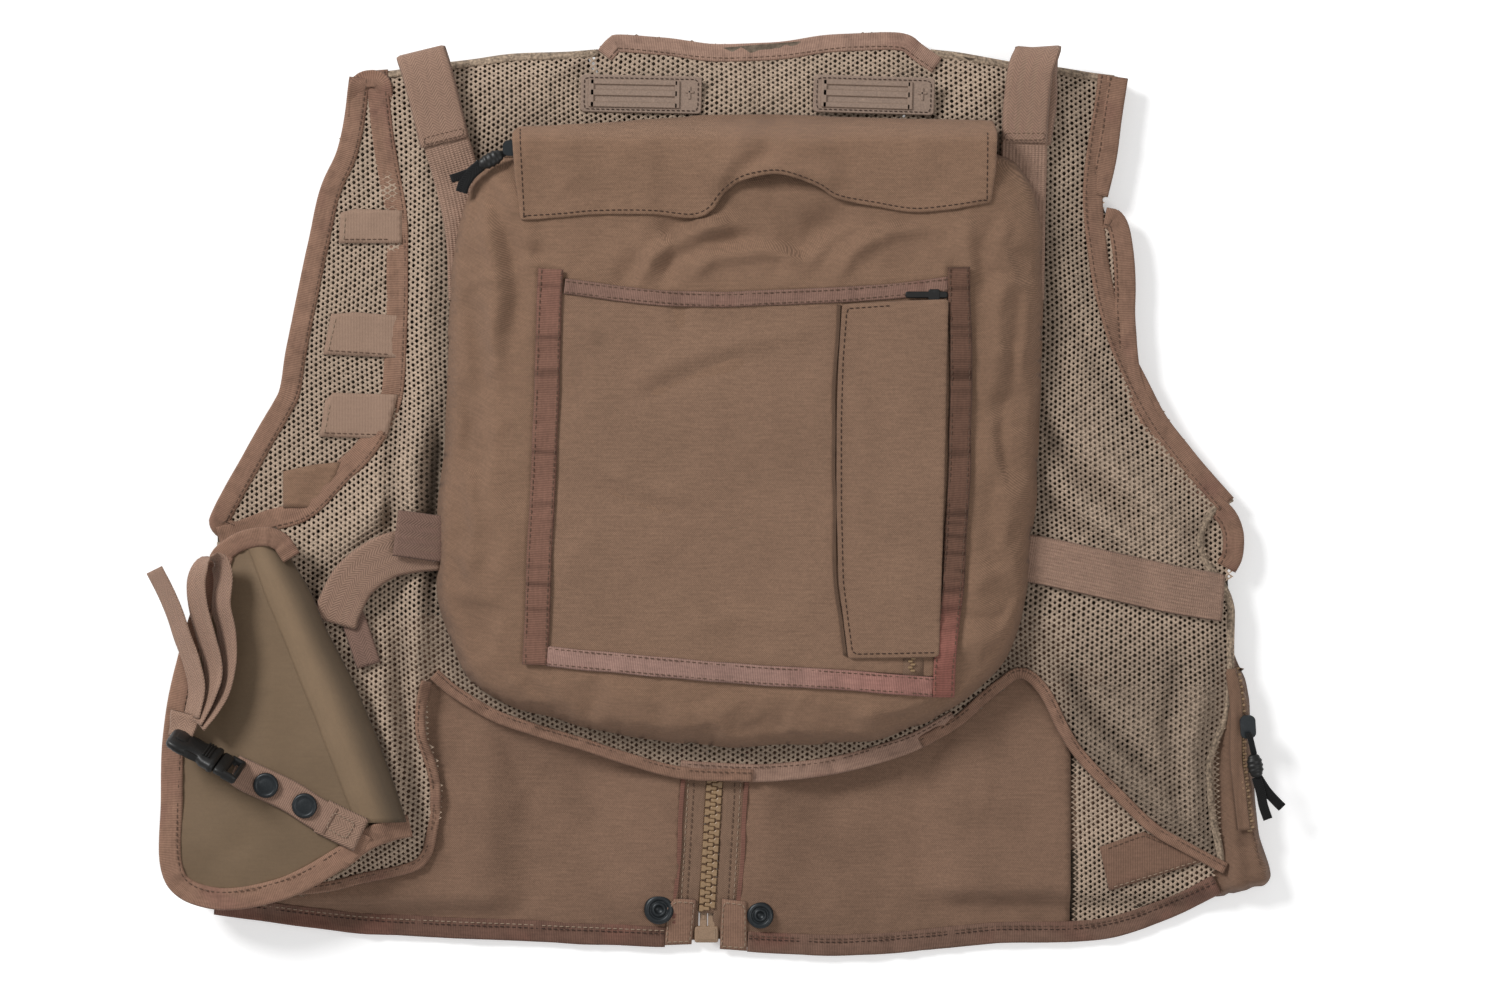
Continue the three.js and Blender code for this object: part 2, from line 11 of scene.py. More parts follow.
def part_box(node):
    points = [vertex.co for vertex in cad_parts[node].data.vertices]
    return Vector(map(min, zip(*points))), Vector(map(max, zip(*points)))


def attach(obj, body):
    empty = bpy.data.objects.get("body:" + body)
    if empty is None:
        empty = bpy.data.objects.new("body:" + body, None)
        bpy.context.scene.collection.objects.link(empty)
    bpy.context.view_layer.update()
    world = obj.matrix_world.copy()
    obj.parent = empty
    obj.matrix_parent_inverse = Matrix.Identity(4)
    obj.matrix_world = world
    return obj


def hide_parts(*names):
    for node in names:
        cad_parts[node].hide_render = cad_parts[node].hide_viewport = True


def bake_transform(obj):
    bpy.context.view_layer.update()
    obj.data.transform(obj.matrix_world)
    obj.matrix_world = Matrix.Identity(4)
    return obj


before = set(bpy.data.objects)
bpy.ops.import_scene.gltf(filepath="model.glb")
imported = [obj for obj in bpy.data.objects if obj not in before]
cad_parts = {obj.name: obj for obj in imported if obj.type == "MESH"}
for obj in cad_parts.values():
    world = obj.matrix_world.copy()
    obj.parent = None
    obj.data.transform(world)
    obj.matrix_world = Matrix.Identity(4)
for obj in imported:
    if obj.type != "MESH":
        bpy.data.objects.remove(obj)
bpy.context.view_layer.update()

# Shapes are in millimetres in the pattern's own frame. ORIGIN moves them to the vest's frame.
POCKET_CORNER = (-262, -212)  # the left cargo pocket's lowest corner in the pattern's frame
pocket_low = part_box("cargo_pocket_left")[0]
ORIGIN = np.array([pocket_low[0] * 1000 - POCKET_CORNER[0], pocket_low[1] * 1000 - POCKET_CORNER[1], 0.0])

# Camera and light, in metres.
VIEW_CENTRE = (15.6, 0.0, 0.0)  # in the pattern's frame
VIEW_WIDTH = 0.78  # across the view, at the subject's level
SUBJECT_LEVEL = 0.022
CAMERA_HEIGHT = 2.6
SENSOR_WIDTH = 36
FLOOR_REACH = 3.0

# ---------------------------------------------------------------------------------------------
# Camera, lights and floor


def metres(points):
    """Pattern millimetres as metres in the vest's frame."""
    return (np.asarray(points, float) + ORIGIN) * 0.001


def new_paint(name):
    paint = bpy.data.materials.new(name)
    paint.use_nodes = True
    return paint, paint.node_tree, paint.node_tree.nodes["Principled BSDF"]


def place_camera():
    data = bpy.data.cameras.new("camera")
    data.sensor_width = SENSOR_WIDTH
    data.lens = SENSOR_WIDTH * (CAMERA_HEIGHT - SUBJECT_LEVEL) / VIEW_WIDTH
    data.clip_end = 20
    camera = bpy.data.objects.new("camera", data)
    x, y, _ = metres(VIEW_CENTRE)
    camera.location = (x, y, CAMERA_HEIGHT)
    bpy.context.scene.collection.objects.link(camera)
    bpy.context.scene.camera = camera


def area_light(name, location, size, power):
    """A round light that faces the origin."""
    data = bpy.data.lights.new(name, "AREA")
    data.shape = "DISK"
    data.size = size
    data.energy = power
    light = bpy.data.objects.new(name, data)
    light.location = location
    light.rotation_euler = (-Vector(location)).to_track_quat("-Z", "Y").to_euler()
    bpy.context.scene.collection.objects.link(light)


def studio():
    scene = bpy.context.scene
    scene.view_settings.view_transform = "Standard"
    world = bpy.data.worlds.new("studio")
    scene.world = world
    world.use_nodes = True
    background = world.node_tree.nodes["Background"].inputs
    background["Color"].default_value = (1, 1, 1, 1)
    background["Strength"].default_value = 0.36
    area_light("key", (-2.0, 1.6, 2.0), 1.0, 84)
    area_light("fill", (1.4, -0.8, 2.4), 1.6, 20)
    mesh = bpy.data.meshes.new("floor")
    r = FLOOR_REACH
    mesh.from_pydata([(-r, -r, 0), (r, -r, 0), (r, r, 0), (-r, r, 0)], [], [(0, 1, 2, 3)])
    floor = bpy.data.objects.new("floor", mesh)
    scene.collection.objects.link(floor)
    paint, _, shader = new_paint("floor")
    shader.inputs["Base Color"].default_value = (0.93, 0.93, 0.93, 1)
    shader.inputs["Roughness"].default_value = 0.9
    shader.inputs["Emission Color"].default_value = (1, 1, 1, 1)
    shader.inputs["Emission Strength"].default_value = 0.3
    mesh.materials.append(paint)


place_camera()
studio()

# ---------------------------------------------------------------------------------------------
# Lines, distances and folds


def lengths_along(line):
    """How far along a line each of its points is."""
    return np.r_[0, np.cumsum(np.linalg.norm(np.diff(line, axis=0), axis=1))]


def closed(points):
    """The points with the first one again at the end."""
    return np.vstack([points, points[:1]])


def unit(vectors):
    return vectors / np.linalg.norm(vectors, axis=1)[:, None]


def resample(points, step):
    """A line of points an even step apart."""
    points = np.asarray(points, float)
    lengths = lengths_along(points)
    count = max(2, int(round(lengths[-1] / step)) + 1)
    at = np.linspace(0, lengths[-1], count)
    return np.column_stack([np.interp(at, lengths, points[:, k]) for k in range(points.shape[1])])


def smooth(points, step=2.0):
    """A Catmull-Rom curve through the points, with an even step."""
    p = np.asarray(points, float)
    p = np.vstack([2 * p[0] - p[1], p, 2 * p[-1] - p[-2]])
    t = np.linspace(0, 1, 20, endpoint=False)[:, None]
    parts = []
    for a, b, c, d in zip(p[:-3], p[1:-2], p[2:-1], p[3:]):
        square, cube = 2 * a - 5 * b + 4 * c - d, 3 * b - a - 3 * c + d
        parts.append(0.5 * (2 * b + (c - a) * t + square * t**2 + cube * t**3))
    return resample(np.vstack(parts + [p[-2][None]]), step)


def normals(line):
    """Unit vectors to the left of a flat line."""
    t = unit(np.gradient(line[:, :2], axis=0))
    return np.column_stack([-t[:, 1], t[:, 0]])


def beside(line, distance):
    """A flat line moved to its left."""
    return line[:, :2] + normals(line) * np.asarray(distance).reshape(-1, 1)


def nearest(x, y, path):
    """The distance to a line of points, and how far along it the nearest spot is, from 0 to 1."""
    path = np.asarray(path, float)
    best = np.full(x.shape, 1e9)
    where = np.zeros(x.shape)
    count = len(path) - 1
    for i in range(count):
        (ax, ay), (bx, by) = path[i][:2], path[i + 1][:2]
        dx, dy = bx - ax, by - ay
        t = np.clip(((x - ax) * dx + (y - ay) * dy) / (dx * dx + dy * dy), 0, 1)
        d = np.hypot(x - ax - t * dx, y - ay - t * dy)
        closer = d < best
        best[closer] = d[closer]
        where[closer] = ((i + t) / count)[closer]
    return best, where


def fold(x, y, path, width, height):
    """A rounded ridge, or a valley if height is negative, that fades out towards both ends."""
    d, t = nearest(x, y, path)
    fade = np.clip(np.minimum(t, 1 - t) * 5, 0, 1)
    return height * np.exp(-((d / width) ** 2)) * (0.25 + 0.75 * fade * fade * (3 - 2 * fade))


def folds(x, y, table):
    """All the (width, height, path) rows of a table of folds together."""
    return sum(fold(x, y, path, width, height) for width, height, path in table)


def step(low, high, value):
    """A smooth step from 0 at low to 1 at high."""
    t = np.clip((value - low) / (high - low), 0, 1)
    return t * t * (3 - 2 * t)


def ripple(x, y, size, seed=0.0):
    """Smooth noise from -1 to 1, with features about that size."""
    flat = [noise.noise((a / size, b / size, seed)) for a, b in zip(np.ravel(x), np.ravel(y))]
    return np.reshape(flat, np.shape(x)) * 1.6


def crinkle(x, y, size, seed=0.0):
    """Thin raised creases that wander over cloth, from 0 to 1."""
    return (1 - np.clip(np.abs(ripple(x, y, size, seed)), 0, 1)) ** 6


def inside(x, y, polygon):
    """Which points are inside a polygon."""
    result = np.zeros(x.shape, bool)
    polygon = np.asarray(polygon, float)
    for (ax, ay), (bx, by) in zip(polygon, np.roll(polygon, -1, axis=0)):
        if ay != by:
            result ^= ((ay > y) != (by > y)) & (x < (bx - ax) * (y - ay) / (by - ay) + ax)
    return result


def within(x, y, outline, margin):
    """Which points are inside an outline by at least that margin."""
    outline = np.asarray(outline, float)
    return inside(x, y, outline) & (nearest(x, y, closed(outline))[0] > margin)


def above(height, lift):
    """A surface that lies that much over another."""
    return lambda x, y: height(x, y) + lift


def spot(height, x, y):
    """A surface's height at one point."""
    return float(height(np.array(float(x)), np.array(float(y))))


# ---------------------------------------------------------------------------------------------
# Meshes

STRAP_STEP = 2.0  # between a strap's rings of points


def piece(name, points, faces, looks, body="vest", slot="twill", replaces=(), uv=None, thickness=0,
          subdivide=0, ride=True, flat=False):
    """A mesh from points in pattern millimetres. uv holds millimetres per point, or per face corner.

    A piece with a frame node's name stands for that node.
    """
    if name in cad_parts:
        replaces = [name]
        name = f"{name}_soft"
    mesh = bpy.data.meshes.new(name)
    mesh.from_pydata(metres(points).tolist(), [], [list(map(int, f)) for f in faces])
    if uv is not None:
        layer = mesh.uv_layers.new(name="UVMap")
        corners = np.empty(len(mesh.loops), int)
        mesh.loops.foreach_get("vertex_index", corners)
        per_corner = uv if len(uv) == len(mesh.loops) and len(uv) != len(points) else np.asarray(uv)[corners]
        layer.data.foreach_set("uv", (np.asarray(per_corner) * 0.001).ravel())
    mesh.materials.append(looks)
    mesh.polygons.foreach_set("use_smooth", [not flat] * len(mesh.polygons))
    obj = bpy.data.objects.new(name, mesh)
    if thickness:
        solid = obj.modifiers.new("thickness", "SOLIDIFY")
        solid.thickness = thickness * 0.001
        solid.offset = -1
    if subdivide:
        sub = obj.modifiers.new("subdivision", "SUBSURF")
        sub.levels = sub.render_levels = subdivide
    bpy.context.scene.collection.objects.link(obj)
    if ride:
        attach(obj, body)
    if replaces:
        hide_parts(*replaces)
    return obj


def fill(outline, spacing):
    """Points and triangles that fill an outline evenly."""
    corners = closed(np.asarray(outline, float))
    rim = []
    for a, b in zip(corners, corners[1:]):
        rim.append(resample([a, b], spacing)[:-1] if np.hypot(*(b - a)) > spacing else [a])
    rim = np.vstack(rim)
    low, high = rim.min(0), rim.max(0)
    xs, ys = [], []
    for k, row in enumerate(np.arange(low[1], high[1], spacing * 0.866)):
        row_x = np.arange(low[0] + (k % 2) * spacing / 2, high[0], spacing)
        xs.append(row_x)
        ys.append(np.full(len(row_x), row))
    x, y = np.concatenate(xs), np.concatenate(ys)
    keep = inside(x, y, rim)
    x, y = x[keep], y[keep]
    far = nearest(x, y, closed(rim))[0] > spacing * 0.55
    points = np.vstack([rim, np.column_stack([x[far], y[far]])])
    ring = [(i, (i + 1) % len(rim)) for i in range(len(rim))]
    made = delaunay_2d_cdt([Vector(p) for p in points.tolist()], ring, [list(range(len(rim)))], 1, 1e-5)
    return np.array([v[:] for v in made[0]]), made[2]


def cloth(name, outline, height, looks, spacing=3.0, thickness=1.4, **options):
    """A panel of cloth with its upper face at height(x, y)."""
    points, faces = fill(outline, spacing)
    x, y = points[:, 0], points[:, 1]
    solid = np.column_stack([x, y, height(x, y)])
    return piece(name, solid, faces, looks, uv=points, thickness=thickness, **options)


def tube_faces(count, around):
    """Faces for a run of rings of points, with both ends closed."""
    faces = []
    for i in range(count - 1):
        for j in range(around):
            k = (j + 1) % around
            faces.append((i * around + j, i * around + k, (i + 1) * around + k, (i + 1) * around + j))
    faces.append(tuple(range(around))[::-1])
    faces.append(tuple((count - 1) * around + j for j in range(around)))
    return faces


def tube_uv(lengths, across, faces, around):
    """A tube's UVs: along the tube, and round its section without a jump at the seam."""
    uv = []
    for face in faces:
        wraps = any(v % around == around - 1 for v in face) and any(v % around == 0 for v in face)
        for v in face:
            j = v % around
            last = wraps and j == 0 and len(face) == 4
            uv.append((lengths[v // around], across[around] if last else across[j]))
    return np.array(uv)


def band(width, top, bottom, lip=1.2):
    """The section of a folded binding from its outer fold at 0 to its inner edge, rounded at both."""
    upper = [(0, 0), (0.3, top * 0.7), (lip, top), (width * 0.3, top), (width * 0.5, top), (width * 0.7, top),
             (width - 0.8, top * 0.9), (width, top * 0.35)]
    lower = [(width, -bottom * 0.4), (width - 0.8, -bottom), (width * 0.5, -bottom), (lip, -bottom),
             (0.3, -bottom * 0.7)]
    return np.array(upper + lower)


def draped_band(name, path, section, height, looks, side=1, along_step=2.2, pucker=0.35, seed=0.0,
                slot="binding_tape", **options):
    """A band of cloth along a flat path that follows the surface under it, puckered by its stitching."""
    line = smooth(path, along_step)
    section = section * (side, 1)
    lengths = lengths_along(line)
    wander = ripple(lengths, lengths * 0, 30, seed) * 0.5
    xy = line[:, None, :2] + normals(line)[:, None, :] * (section[None, :, 0:1] + wander[:, None, None])
    along, across = np.broadcast_arrays(lengths[:, None], section[None, :, 0])
    rise = (ripple(along, across * 0.2, 4.5, seed + 3.3) + 0.7 * ripple(along, across, 11,
                                                                        seed + 6.1)) * pucker
    top = section[None, :, 1] > 0
    z = height(xy[..., 0].ravel(), xy[..., 1].ravel()).reshape(xy.shape[:2]) + section[None, :, 1]
    points = np.dstack([xy, z + np.where(top, rise, 0)]).reshape(-1, 3)
    around = len(section)
    faces = tube_faces(len(line), around)
    turn = np.sum(section[:, 0] * np.roll(section[:, 1], -1) - np.roll(section[:, 0], -1) * section[:, 1])
    if turn < 0:
        faces = [f[::-1] for f in faces]
    uv = tube_uv(lengths, lengths_along(closed(section)), faces, around)
    return piece(name, points, faces, looks, uv=uv, slot=slot, **options)


def webbing_section(width, thickness, ridges=0, depth=0.0, count=16):
    """A flat strap's section with rounded edges, and lengthwise ridges on elastic webbing."""
    h = width / 2
    s = np.linspace(-h, h, count)
    edge = np.sqrt(np.clip(1 - (np.abs(s) / h) ** 14, 0, 1))
    wave = depth * np.cos(s / h * math.pi * ridges)
    top = np.column_stack([s, thickness / 2 * edge + wave])
    bottom = np.column_stack([s[::-1], -thickness / 2 * edge[::-1] + wave[::-1]])[1:-1]
    return np.vstack([top, bottom])


def strap(name, centre, side, section, looks, ripples=0.15, seed=0.0, slot="webbing", **options):
    """Webbing along a curve in space. side gives the direction across the strap at each control point."""
    both = np.hstack([np.asarray(centre, float), np.asarray(side, float) * 50])
    curve = smooth(both, 1.0)
    lengths = lengths_along(curve[:, :3])
    at = np.linspace(0, lengths[-1], max(3, int(lengths[-1] / STRAP_STEP) + 1))
    line = np.column_stack([np.interp(at, lengths, curve[:, k]) for k in range(3)])
    across = np.column_stack([np.interp(at, lengths, curve[:, k + 3]) for k in range(3)])
    tangent = unit(np.gradient(line, axis=0))
    across = unit(across - tangent * np.sum(across * tangent, axis=1)[:, None])
    up = np.cross(tangent, across)
    wave = ripple(at, at * 0, 16, seed) * ripples
    points = (line + up * wave[:, None])[:, None]
    points = points + across[:, None] * section[None, :, 0:1] + up[:, None] * section[None, :, 1:2]
    faces = [f[::-1] for f in tube_faces(len(line), len(section))]
    uv = tube_uv(at, lengths_along(closed(section)), faces, len(section))
    return piece(name, points.reshape(-1, 3), faces, looks, uv=uv, slot=slot, **options)


def lathe(profile, segments=40):
    """Points and faces of a turned shape from (radius, height) pairs. A radius of 0 closes it."""
    angle = np.linspace(0, 2 * math.pi, segments, endpoint=False)
    rings = [np.column_stack([r * np.cos(angle), r * np.sin(angle), np.full(segments, h)]) for r,
             h in profile]
    return np.vstack(rings), tube_faces(len(rings), segments)


def prism(outline, levels):
    """A solid from an outline and (inset, height) levels, from the bottom up."""
    outline = np.asarray(outline, float)
    wrapped = np.vstack([outline[-1:], closed(outline)])
    before, after = unit(wrapped[1:-1] - wrapped[:-2]), unit(wrapped[2:] - wrapped[1:-1])
    inward = np.column_stack([-(before + after)[:, 1], (before + after)[:, 0]])
    inward /= np.maximum(np.linalg.norm(inward, axis=1), 0.5)[:, None]
    points = np.vstack([np.column_stack([outline + inward * i, np.full(len(outline), h)]) for i, h in levels])
    return points, tube_faces(len(levels), len(outline))


def rounded(x0, y0, x1, y1, r, corner=5):
    """A rectangle with round corners, anticlockwise."""
    points = []
    centres = ((x1 - r, y1 - r, 0), (x0 + r, y1 - r, 90), (x0 + r, y0 + r, 180), (x1 - r, y0 + r, 270))
    for cx, cy, start in centres:
        for a in np.radians(np.linspace(start, start + 90, corner)):
            points.append((cx + r * math.cos(a), cy + r * math.sin(a)))
    return np.array(points)


def merge(parts):
    """Several (points, faces) as one."""
    points, faces, base = [], [], 0
    for p, f in parts:
        points.append(p)
        faces += [tuple(v + base for v in face) for face in f]
        base += len(p)
    return np.vstack(points), faces


def turned(points, angle_x=0, angle_y=0, angle_z=0, at=(0, 0, 0)):
    """Points turned about X, then Y, then Z, and moved."""
    turn = Matrix.Rotation(angle_z, 3, "Z")
    turn = turn @ Matrix.Rotation(angle_y, 3, "Y") @ Matrix.Rotation(angle_x, 3, "X")
    return np.asarray(points) @ np.array(turn).T + np.array(at)


# ---------------------------------------------------------------------------------------------
# Sewing thread

threads = {}
STITCH_PITCH = 3.1
STITCH_SHARE = 0.68  # of the pitch that thread covers


def stitch_shape(length, radius):
    """One stitch along x, with pinched ends."""
    angle = np.radians([30, 90, 150, 210, 270, 330])
    rings = []
    for at, r in ((-0.5, 0.35), (-0.32, 1), (0.32, 1), (0.5, 0.35)):
        y, z = r * radius * np.cos(angle), r * radius * np.sin(angle)
        rings.append(np.column_stack([np.full(6, at * length), y, z]))
    return np.vstack(rings), tube_faces(4, 6)


def sew(points, colour="brown", body="vest", pitch=STITCH_PITCH, radius=0.3):
    """A run of stitches along points in space."""
    line = resample(points, pitch)
    middle = (line[1:] + line[:-1]) / 2
    along = line[1:] - line[:-1]
    shape, faces = stitch_shape(pitch * STITCH_SHARE, radius)
    for m, a in zip(middle, along):
        a = a / max(np.linalg.norm(a), 1e-6)
        side = np.cross((0, 0, 1), a)
        side /= max(np.linalg.norm(side), 1e-6)
        up = np.cross(a, side)
        threads.setdefault((body, colour), []).append((m + shape @ np.array([a, side, up]), faces))


def sew_on(path, height, offset=0.0, lift=0.15, colour="brown", body="vest", curve=True, **options):
    """Stitches on a draped surface, beside a flat path."""
    line = smooth(path, 1.5) if curve else resample(path, 1.5)
    if offset:
        line = beside(line, offset)
    z = height(line[:, 0], line[:, 1]) + lift
    sew(np.column_stack([line[:, :2], z]), colour, body, **options)


# ---------------------------------------------------------------------------------------------
# Materials


def node(tree, kind, inputs=(), **settings):
    """A shader node. Each input is a value or another node's socket."""
    made = tree.nodes.new(kind)
    for key, value in settings.items():
        setattr(made, key, value)
    for key, value in dict(inputs).items():
        if isinstance(value, bpy.types.NodeSocket):
            tree.links.new(value, made.inputs[key])
        else:
            made.inputs[key].default_value = value
    return made


def maths(tree, operation, a, b=0.0):
    return node(tree, "ShaderNodeMath", {0: a, 1: b}, operation=operation).outputs[0]


def blend_colours(tree, factor, a, b):
    return node(tree, "ShaderNodeMix", {0: factor, 6: a, 7: b}, data_type="RGBA").outputs[2]


def ramp(tree, factor, low, high, out_low=0.0, out_high=1.0):
    """A smooth step between two levels of a factor."""
    inputs = {"Value": factor, "From Min": low, "From Max": high, "To Min": out_low, "To Max": out_high}
    return node(tree, "ShaderNodeMapRange", inputs, interpolation_type="SMOOTHSTEP").outputs["Result"]


def rgba(colour, scale=1.0):
    return (*(min(1.0, c * scale) for c in colour), 1)


def attribute(tree, name):
    return node(tree, "ShaderNodeAttribute", attribute_name=name).outputs["Fac"]


def noise_at(tree, vector, size, detail=3.0, roughness=0.55):
    inputs = {"Vector": vector, "Scale": 1 / size, "Detail": detail, "Roughness": roughness}
    return node(tree, "ShaderNodeTexNoise", inputs).outputs["Fac"]


def wave_at(tree, vector, period, direction="X", distortion=0.6):
    scale = 0.314159 / period * (2 if direction == "DIAGONAL" else 1)
    inputs = {"Vector": vector, "Scale": scale, "Distortion": distortion, "Detail": 1.0, "Detail Scale": 1.5}
    return node(tree, "ShaderNodeTexWave", inputs, bands_direction=direction).outputs["Fac"]


def weave_height(tree, uv, weave, period):
    """The height of the threads from 0 to 1, from UVs in metres."""
    if weave == "twill":
        lines = wave_at(tree, uv, period, "DIAGONAL")
        return maths(tree, "MULTIPLY", lines, maths(tree, "ADD", wave_at(tree, uv, period * 0.6, "Y"), 0.6))
    if weave == "knit":
        return noise_at(tree, uv, period, 2.0)
    if weave == "tape":
        return wave_at(tree, uv, period, "X", 0.3)
    if weave == "ribbed":
        ribs = maths(tree, "ADD", wave_at(tree, uv, 0.0018, "Y", 0.15), 0.6)
        return maths(tree, "MULTIPLY", maths(tree, "ADD", wave_at(tree, uv, period, "X", 0.3), 0.7), ribs)
    u, v, _ = node(tree, "ShaderNodeSeparateXYZ", {0: uv}).outputs
    zigzag = maths(tree, "PINGPONG", v, 0.0032)
    along = maths(tree, "ADD", u, zigzag)
    teeth = maths(tree, "SINE", maths(tree, "MULTIPLY", along, 6.2832 / period))
    return maths(tree, "ADD", maths(tree, "MULTIPLY", teeth, 0.5), 0.5)


def fabric(name, colour, weave="twill", period=0.0011, contrast=0.24, mottle=0.03, depth=0.0002,
           roughness=0.88, sheen=0.06, second=None, second_range=(0.5, 0.7), specular=0.15):
    """Cloth with its weave, uneven dye, painted shade in folds, and paler worn edges and painted highlights.

    Point attributes darken it for dirt and for painted shade, lighten it for worn spots and for painted
    highlights, and fade turns it towards the second colour.
    """
    paint, tree, shader = new_paint(name)
    coordinates = node(tree, "ShaderNodeTexCoord").outputs
    uv, place = coordinates["UV"], coordinates["Object"]
    threads_up = weave_height(tree, uv, weave, period)
    broad = noise_at(tree, place, 0.05, 4.0, 0.6)
    slubs = node(tree, "ShaderNodeMapping", {"Vector": uv, "Scale": (0.12, 1.0, 1.0)}).outputs["Vector"]
    fine = maths(tree, "ADD", noise_at(tree, place, 0.0015, 2.0, 0.7), noise_at(tree, slubs, 0.0012))
    fine = maths(tree, "MULTIPLY", fine, 0.5)
    base = blend_colours(tree, ramp(tree, broad, 0.3, 0.7), rgba(colour, 1 - mottle),
                         rgba(colour, 1 + mottle))
    if second:
        patches = ramp(tree, noise_at(tree, place, 0.03, 3.0), *second_range)
        amount = node(tree, "ShaderNodeMath", {0: patches, 1: attribute(tree, "fade")}, operation="ADD",
                      use_clamp=True)
        base = blend_colours(tree, amount.outputs[0], base, rgba(second))
    specks = ramp(tree, fine, 0.25, 0.75, 1 - contrast * 0.7, 1 + contrast * 0.7)
    rows = ramp(tree, threads_up, 0.1, 0.9, 1 - contrast, 1 + contrast * 0.6)
    # Darker for dirt and for painted shade in folds and under parts; lighter for worn spots and for painted
    # highlights on a crest.
    undarkened = maths(tree, "SUBTRACT", 1.0, attribute(tree, "stain"))
    value = maths(tree, "MULTIPLY", maths(tree, "MULTIPLY", specks, rows), undarkened)
    value = maths(tree, "ADD", value, attribute(tree, "wear"))
    tinted = node(tree, "ShaderNodeHueSaturation", {"Color": base, "Value": value}).outputs["Color"]
    tree.links.new(tinted, shader.inputs["Base Color"])
    height = maths(tree, "ADD", maths(tree, "MULTIPLY", threads_up, 0.7), maths(tree, "MULTIPLY", fine, 0.5))
    bump = node(tree, "ShaderNodeBump", {"Height": height, "Distance": depth, "Strength": 0.9})
    tree.links.new(bump.outputs["Normal"], shader.inputs["Normal"])
    rough = ramp(tree, fine, 0.2, 0.8, roughness - 0.08, min(1, roughness + 0.06))
    tree.links.new(rough, shader.inputs["Roughness"])
    shader.inputs["Sheen Weight"].default_value = sheen
    shader.inputs["Sheen Roughness"].default_value = 0.5
    shader.inputs["Specular IOR Level"].default_value = specular
    return paint


def tape(name, colour, faded, start, end):
    """Woven binding tape that has faded in patches towards a second colour."""
    return fabric(name, colour, "tape", 0.0009, second=faded, second_range=(start, end))


def net_cloth(name, colour, period, contrast, mottle, depth=0.0006):
    return fabric(name, colour, "knit", period, contrast=contrast, mottle=mottle, depth=depth)


def moulded(name, colour, roughness=0.45, grain=0.0006, depth=0.00004, scuff=0.5, metallic=0.0, specular=0.5):
    """Plastic, rubber or painted metal with a fine grain and paler scuffs."""
    paint, tree, shader = new_paint(name)
    place = node(tree, "ShaderNodeTexCoord").outputs["Object"]
    fine = noise_at(tree, place, grain, 3.0, 0.6)
    marks = ramp(tree, noise_at(tree, place, 0.004, 5.0, 0.75), 0.58, 0.72)
    base = blend_colours(tree, ramp(tree, fine, 0.3, 0.7), rgba(colour, 0.85), rgba(colour, 1.15))
    pale = rgba([c * 1.5 + 0.02 for c in colour])
    base = blend_colours(tree, maths(tree, "MULTIPLY", marks, scuff), base, pale)
    tree.links.new(base, shader.inputs["Base Color"])
    rough = ramp(tree, fine, 0.2, 0.8, roughness - 0.06, roughness + 0.08)
    rough = maths(tree, "ADD", rough, maths(tree, "MULTIPLY", marks, 0.12))
    tree.links.new(rough, shader.inputs["Roughness"])
    bump = node(tree, "ShaderNodeBump", {"Height": fine, "Distance": depth, "Strength": 0.7})
    tree.links.new(bump.outputs["Normal"], shader.inputs["Normal"])
    shader.inputs["Metallic"].default_value = metallic
    shader.inputs["Specular IOR Level"].default_value = specular
    return paint


TWILL = fabric("twill", (0.248, 0.148, 0.096))
TWILL_FRONT = fabric("twill_front", (0.229, 0.137, 0.092))
POCKET_TWILL = fabric("twill_pocket", (0.25, 0.151, 0.1))
NET = net_cloth("net", (0.425, 0.322, 0.242), 0.0009, 0.4, 0.05, 0.0003)
SEAM = net_cloth("net_seam", (0.33, 0.25, 0.182), 0.0016, 0.75, 0.06)
# Dark sheets under the open net: the cloth below it, darkened as painted shade where it shows through the
# holes.
NET_BELOW_PAINTED_SHADE = net_cloth("net_below_painted_shade", (0.085, 0.062, 0.043), 0.0028, 0.6, 0.1)
LINING_PAINTED_SHADE = net_cloth("net_lining_painted_shade", (0.16, 0.122, 0.09), 0.0028, 0.5, 0.1)
BINDING = tape("binding", (0.25, 0.145, 0.1), (0.205, 0.108, 0.08), 0.5, 0.8)
COLLAR = tape("collar", (0.32, 0.2, 0.15), (0.26, 0.145, 0.11), 0.55, 0.8)
HEM = tape("hem", (0.15, 0.082, 0.06), (0.2, 0.092, 0.068), 0.6, 0.85)
HEM_BROWN = tape("hem_brown", (0.175, 0.103, 0.075), (0.17, 0.085, 0.063), 0.5, 0.8)
DARK_TAPE = tape("tape_dark", (0.14, 0.074, 0.051), (0.31, 0.122, 0.097), 0.8, 1.0)
BROWN_TAPE = tape("tape_brown", (0.203, 0.105, 0.075), (0.23, 0.105, 0.08), 0.6, 0.9)
PINK_TAPE = tape("tape_faded", (0.322, 0.195, 0.159), (0.335, 0.156, 0.129), 0.6, 0.85)
MAUVE_TAPE = tape("tape_mauve", (0.228, 0.133, 0.102), (0.25, 0.13, 0.1), 0.6, 0.85)
WEBBING = fabric("webbing", (0.284, 0.178, 0.129), "herringbone", 0.0016, contrast=0.2, depth=0.0003,
                 roughness=0.75)
WEBBING_DARK = fabric("webbing_mauve", (0.2, 0.122, 0.094), "herringbone", 0.0016, contrast=0.2, depth=0.0003)
STRAP = fabric("strap", (0.275, 0.17, 0.125), "tape", 0.0011, contrast=0.2, depth=0.0002, roughness=0.75)
RIBBED = fabric("strap_ribbed", (0.272, 0.172, 0.126), "ribbed", 0.0011, contrast=0.3, depth=0.0004,
                roughness=0.75)
PATCH = fabric("patch", (0.31, 0.205, 0.15), "tape", 0.0008, contrast=0.1)
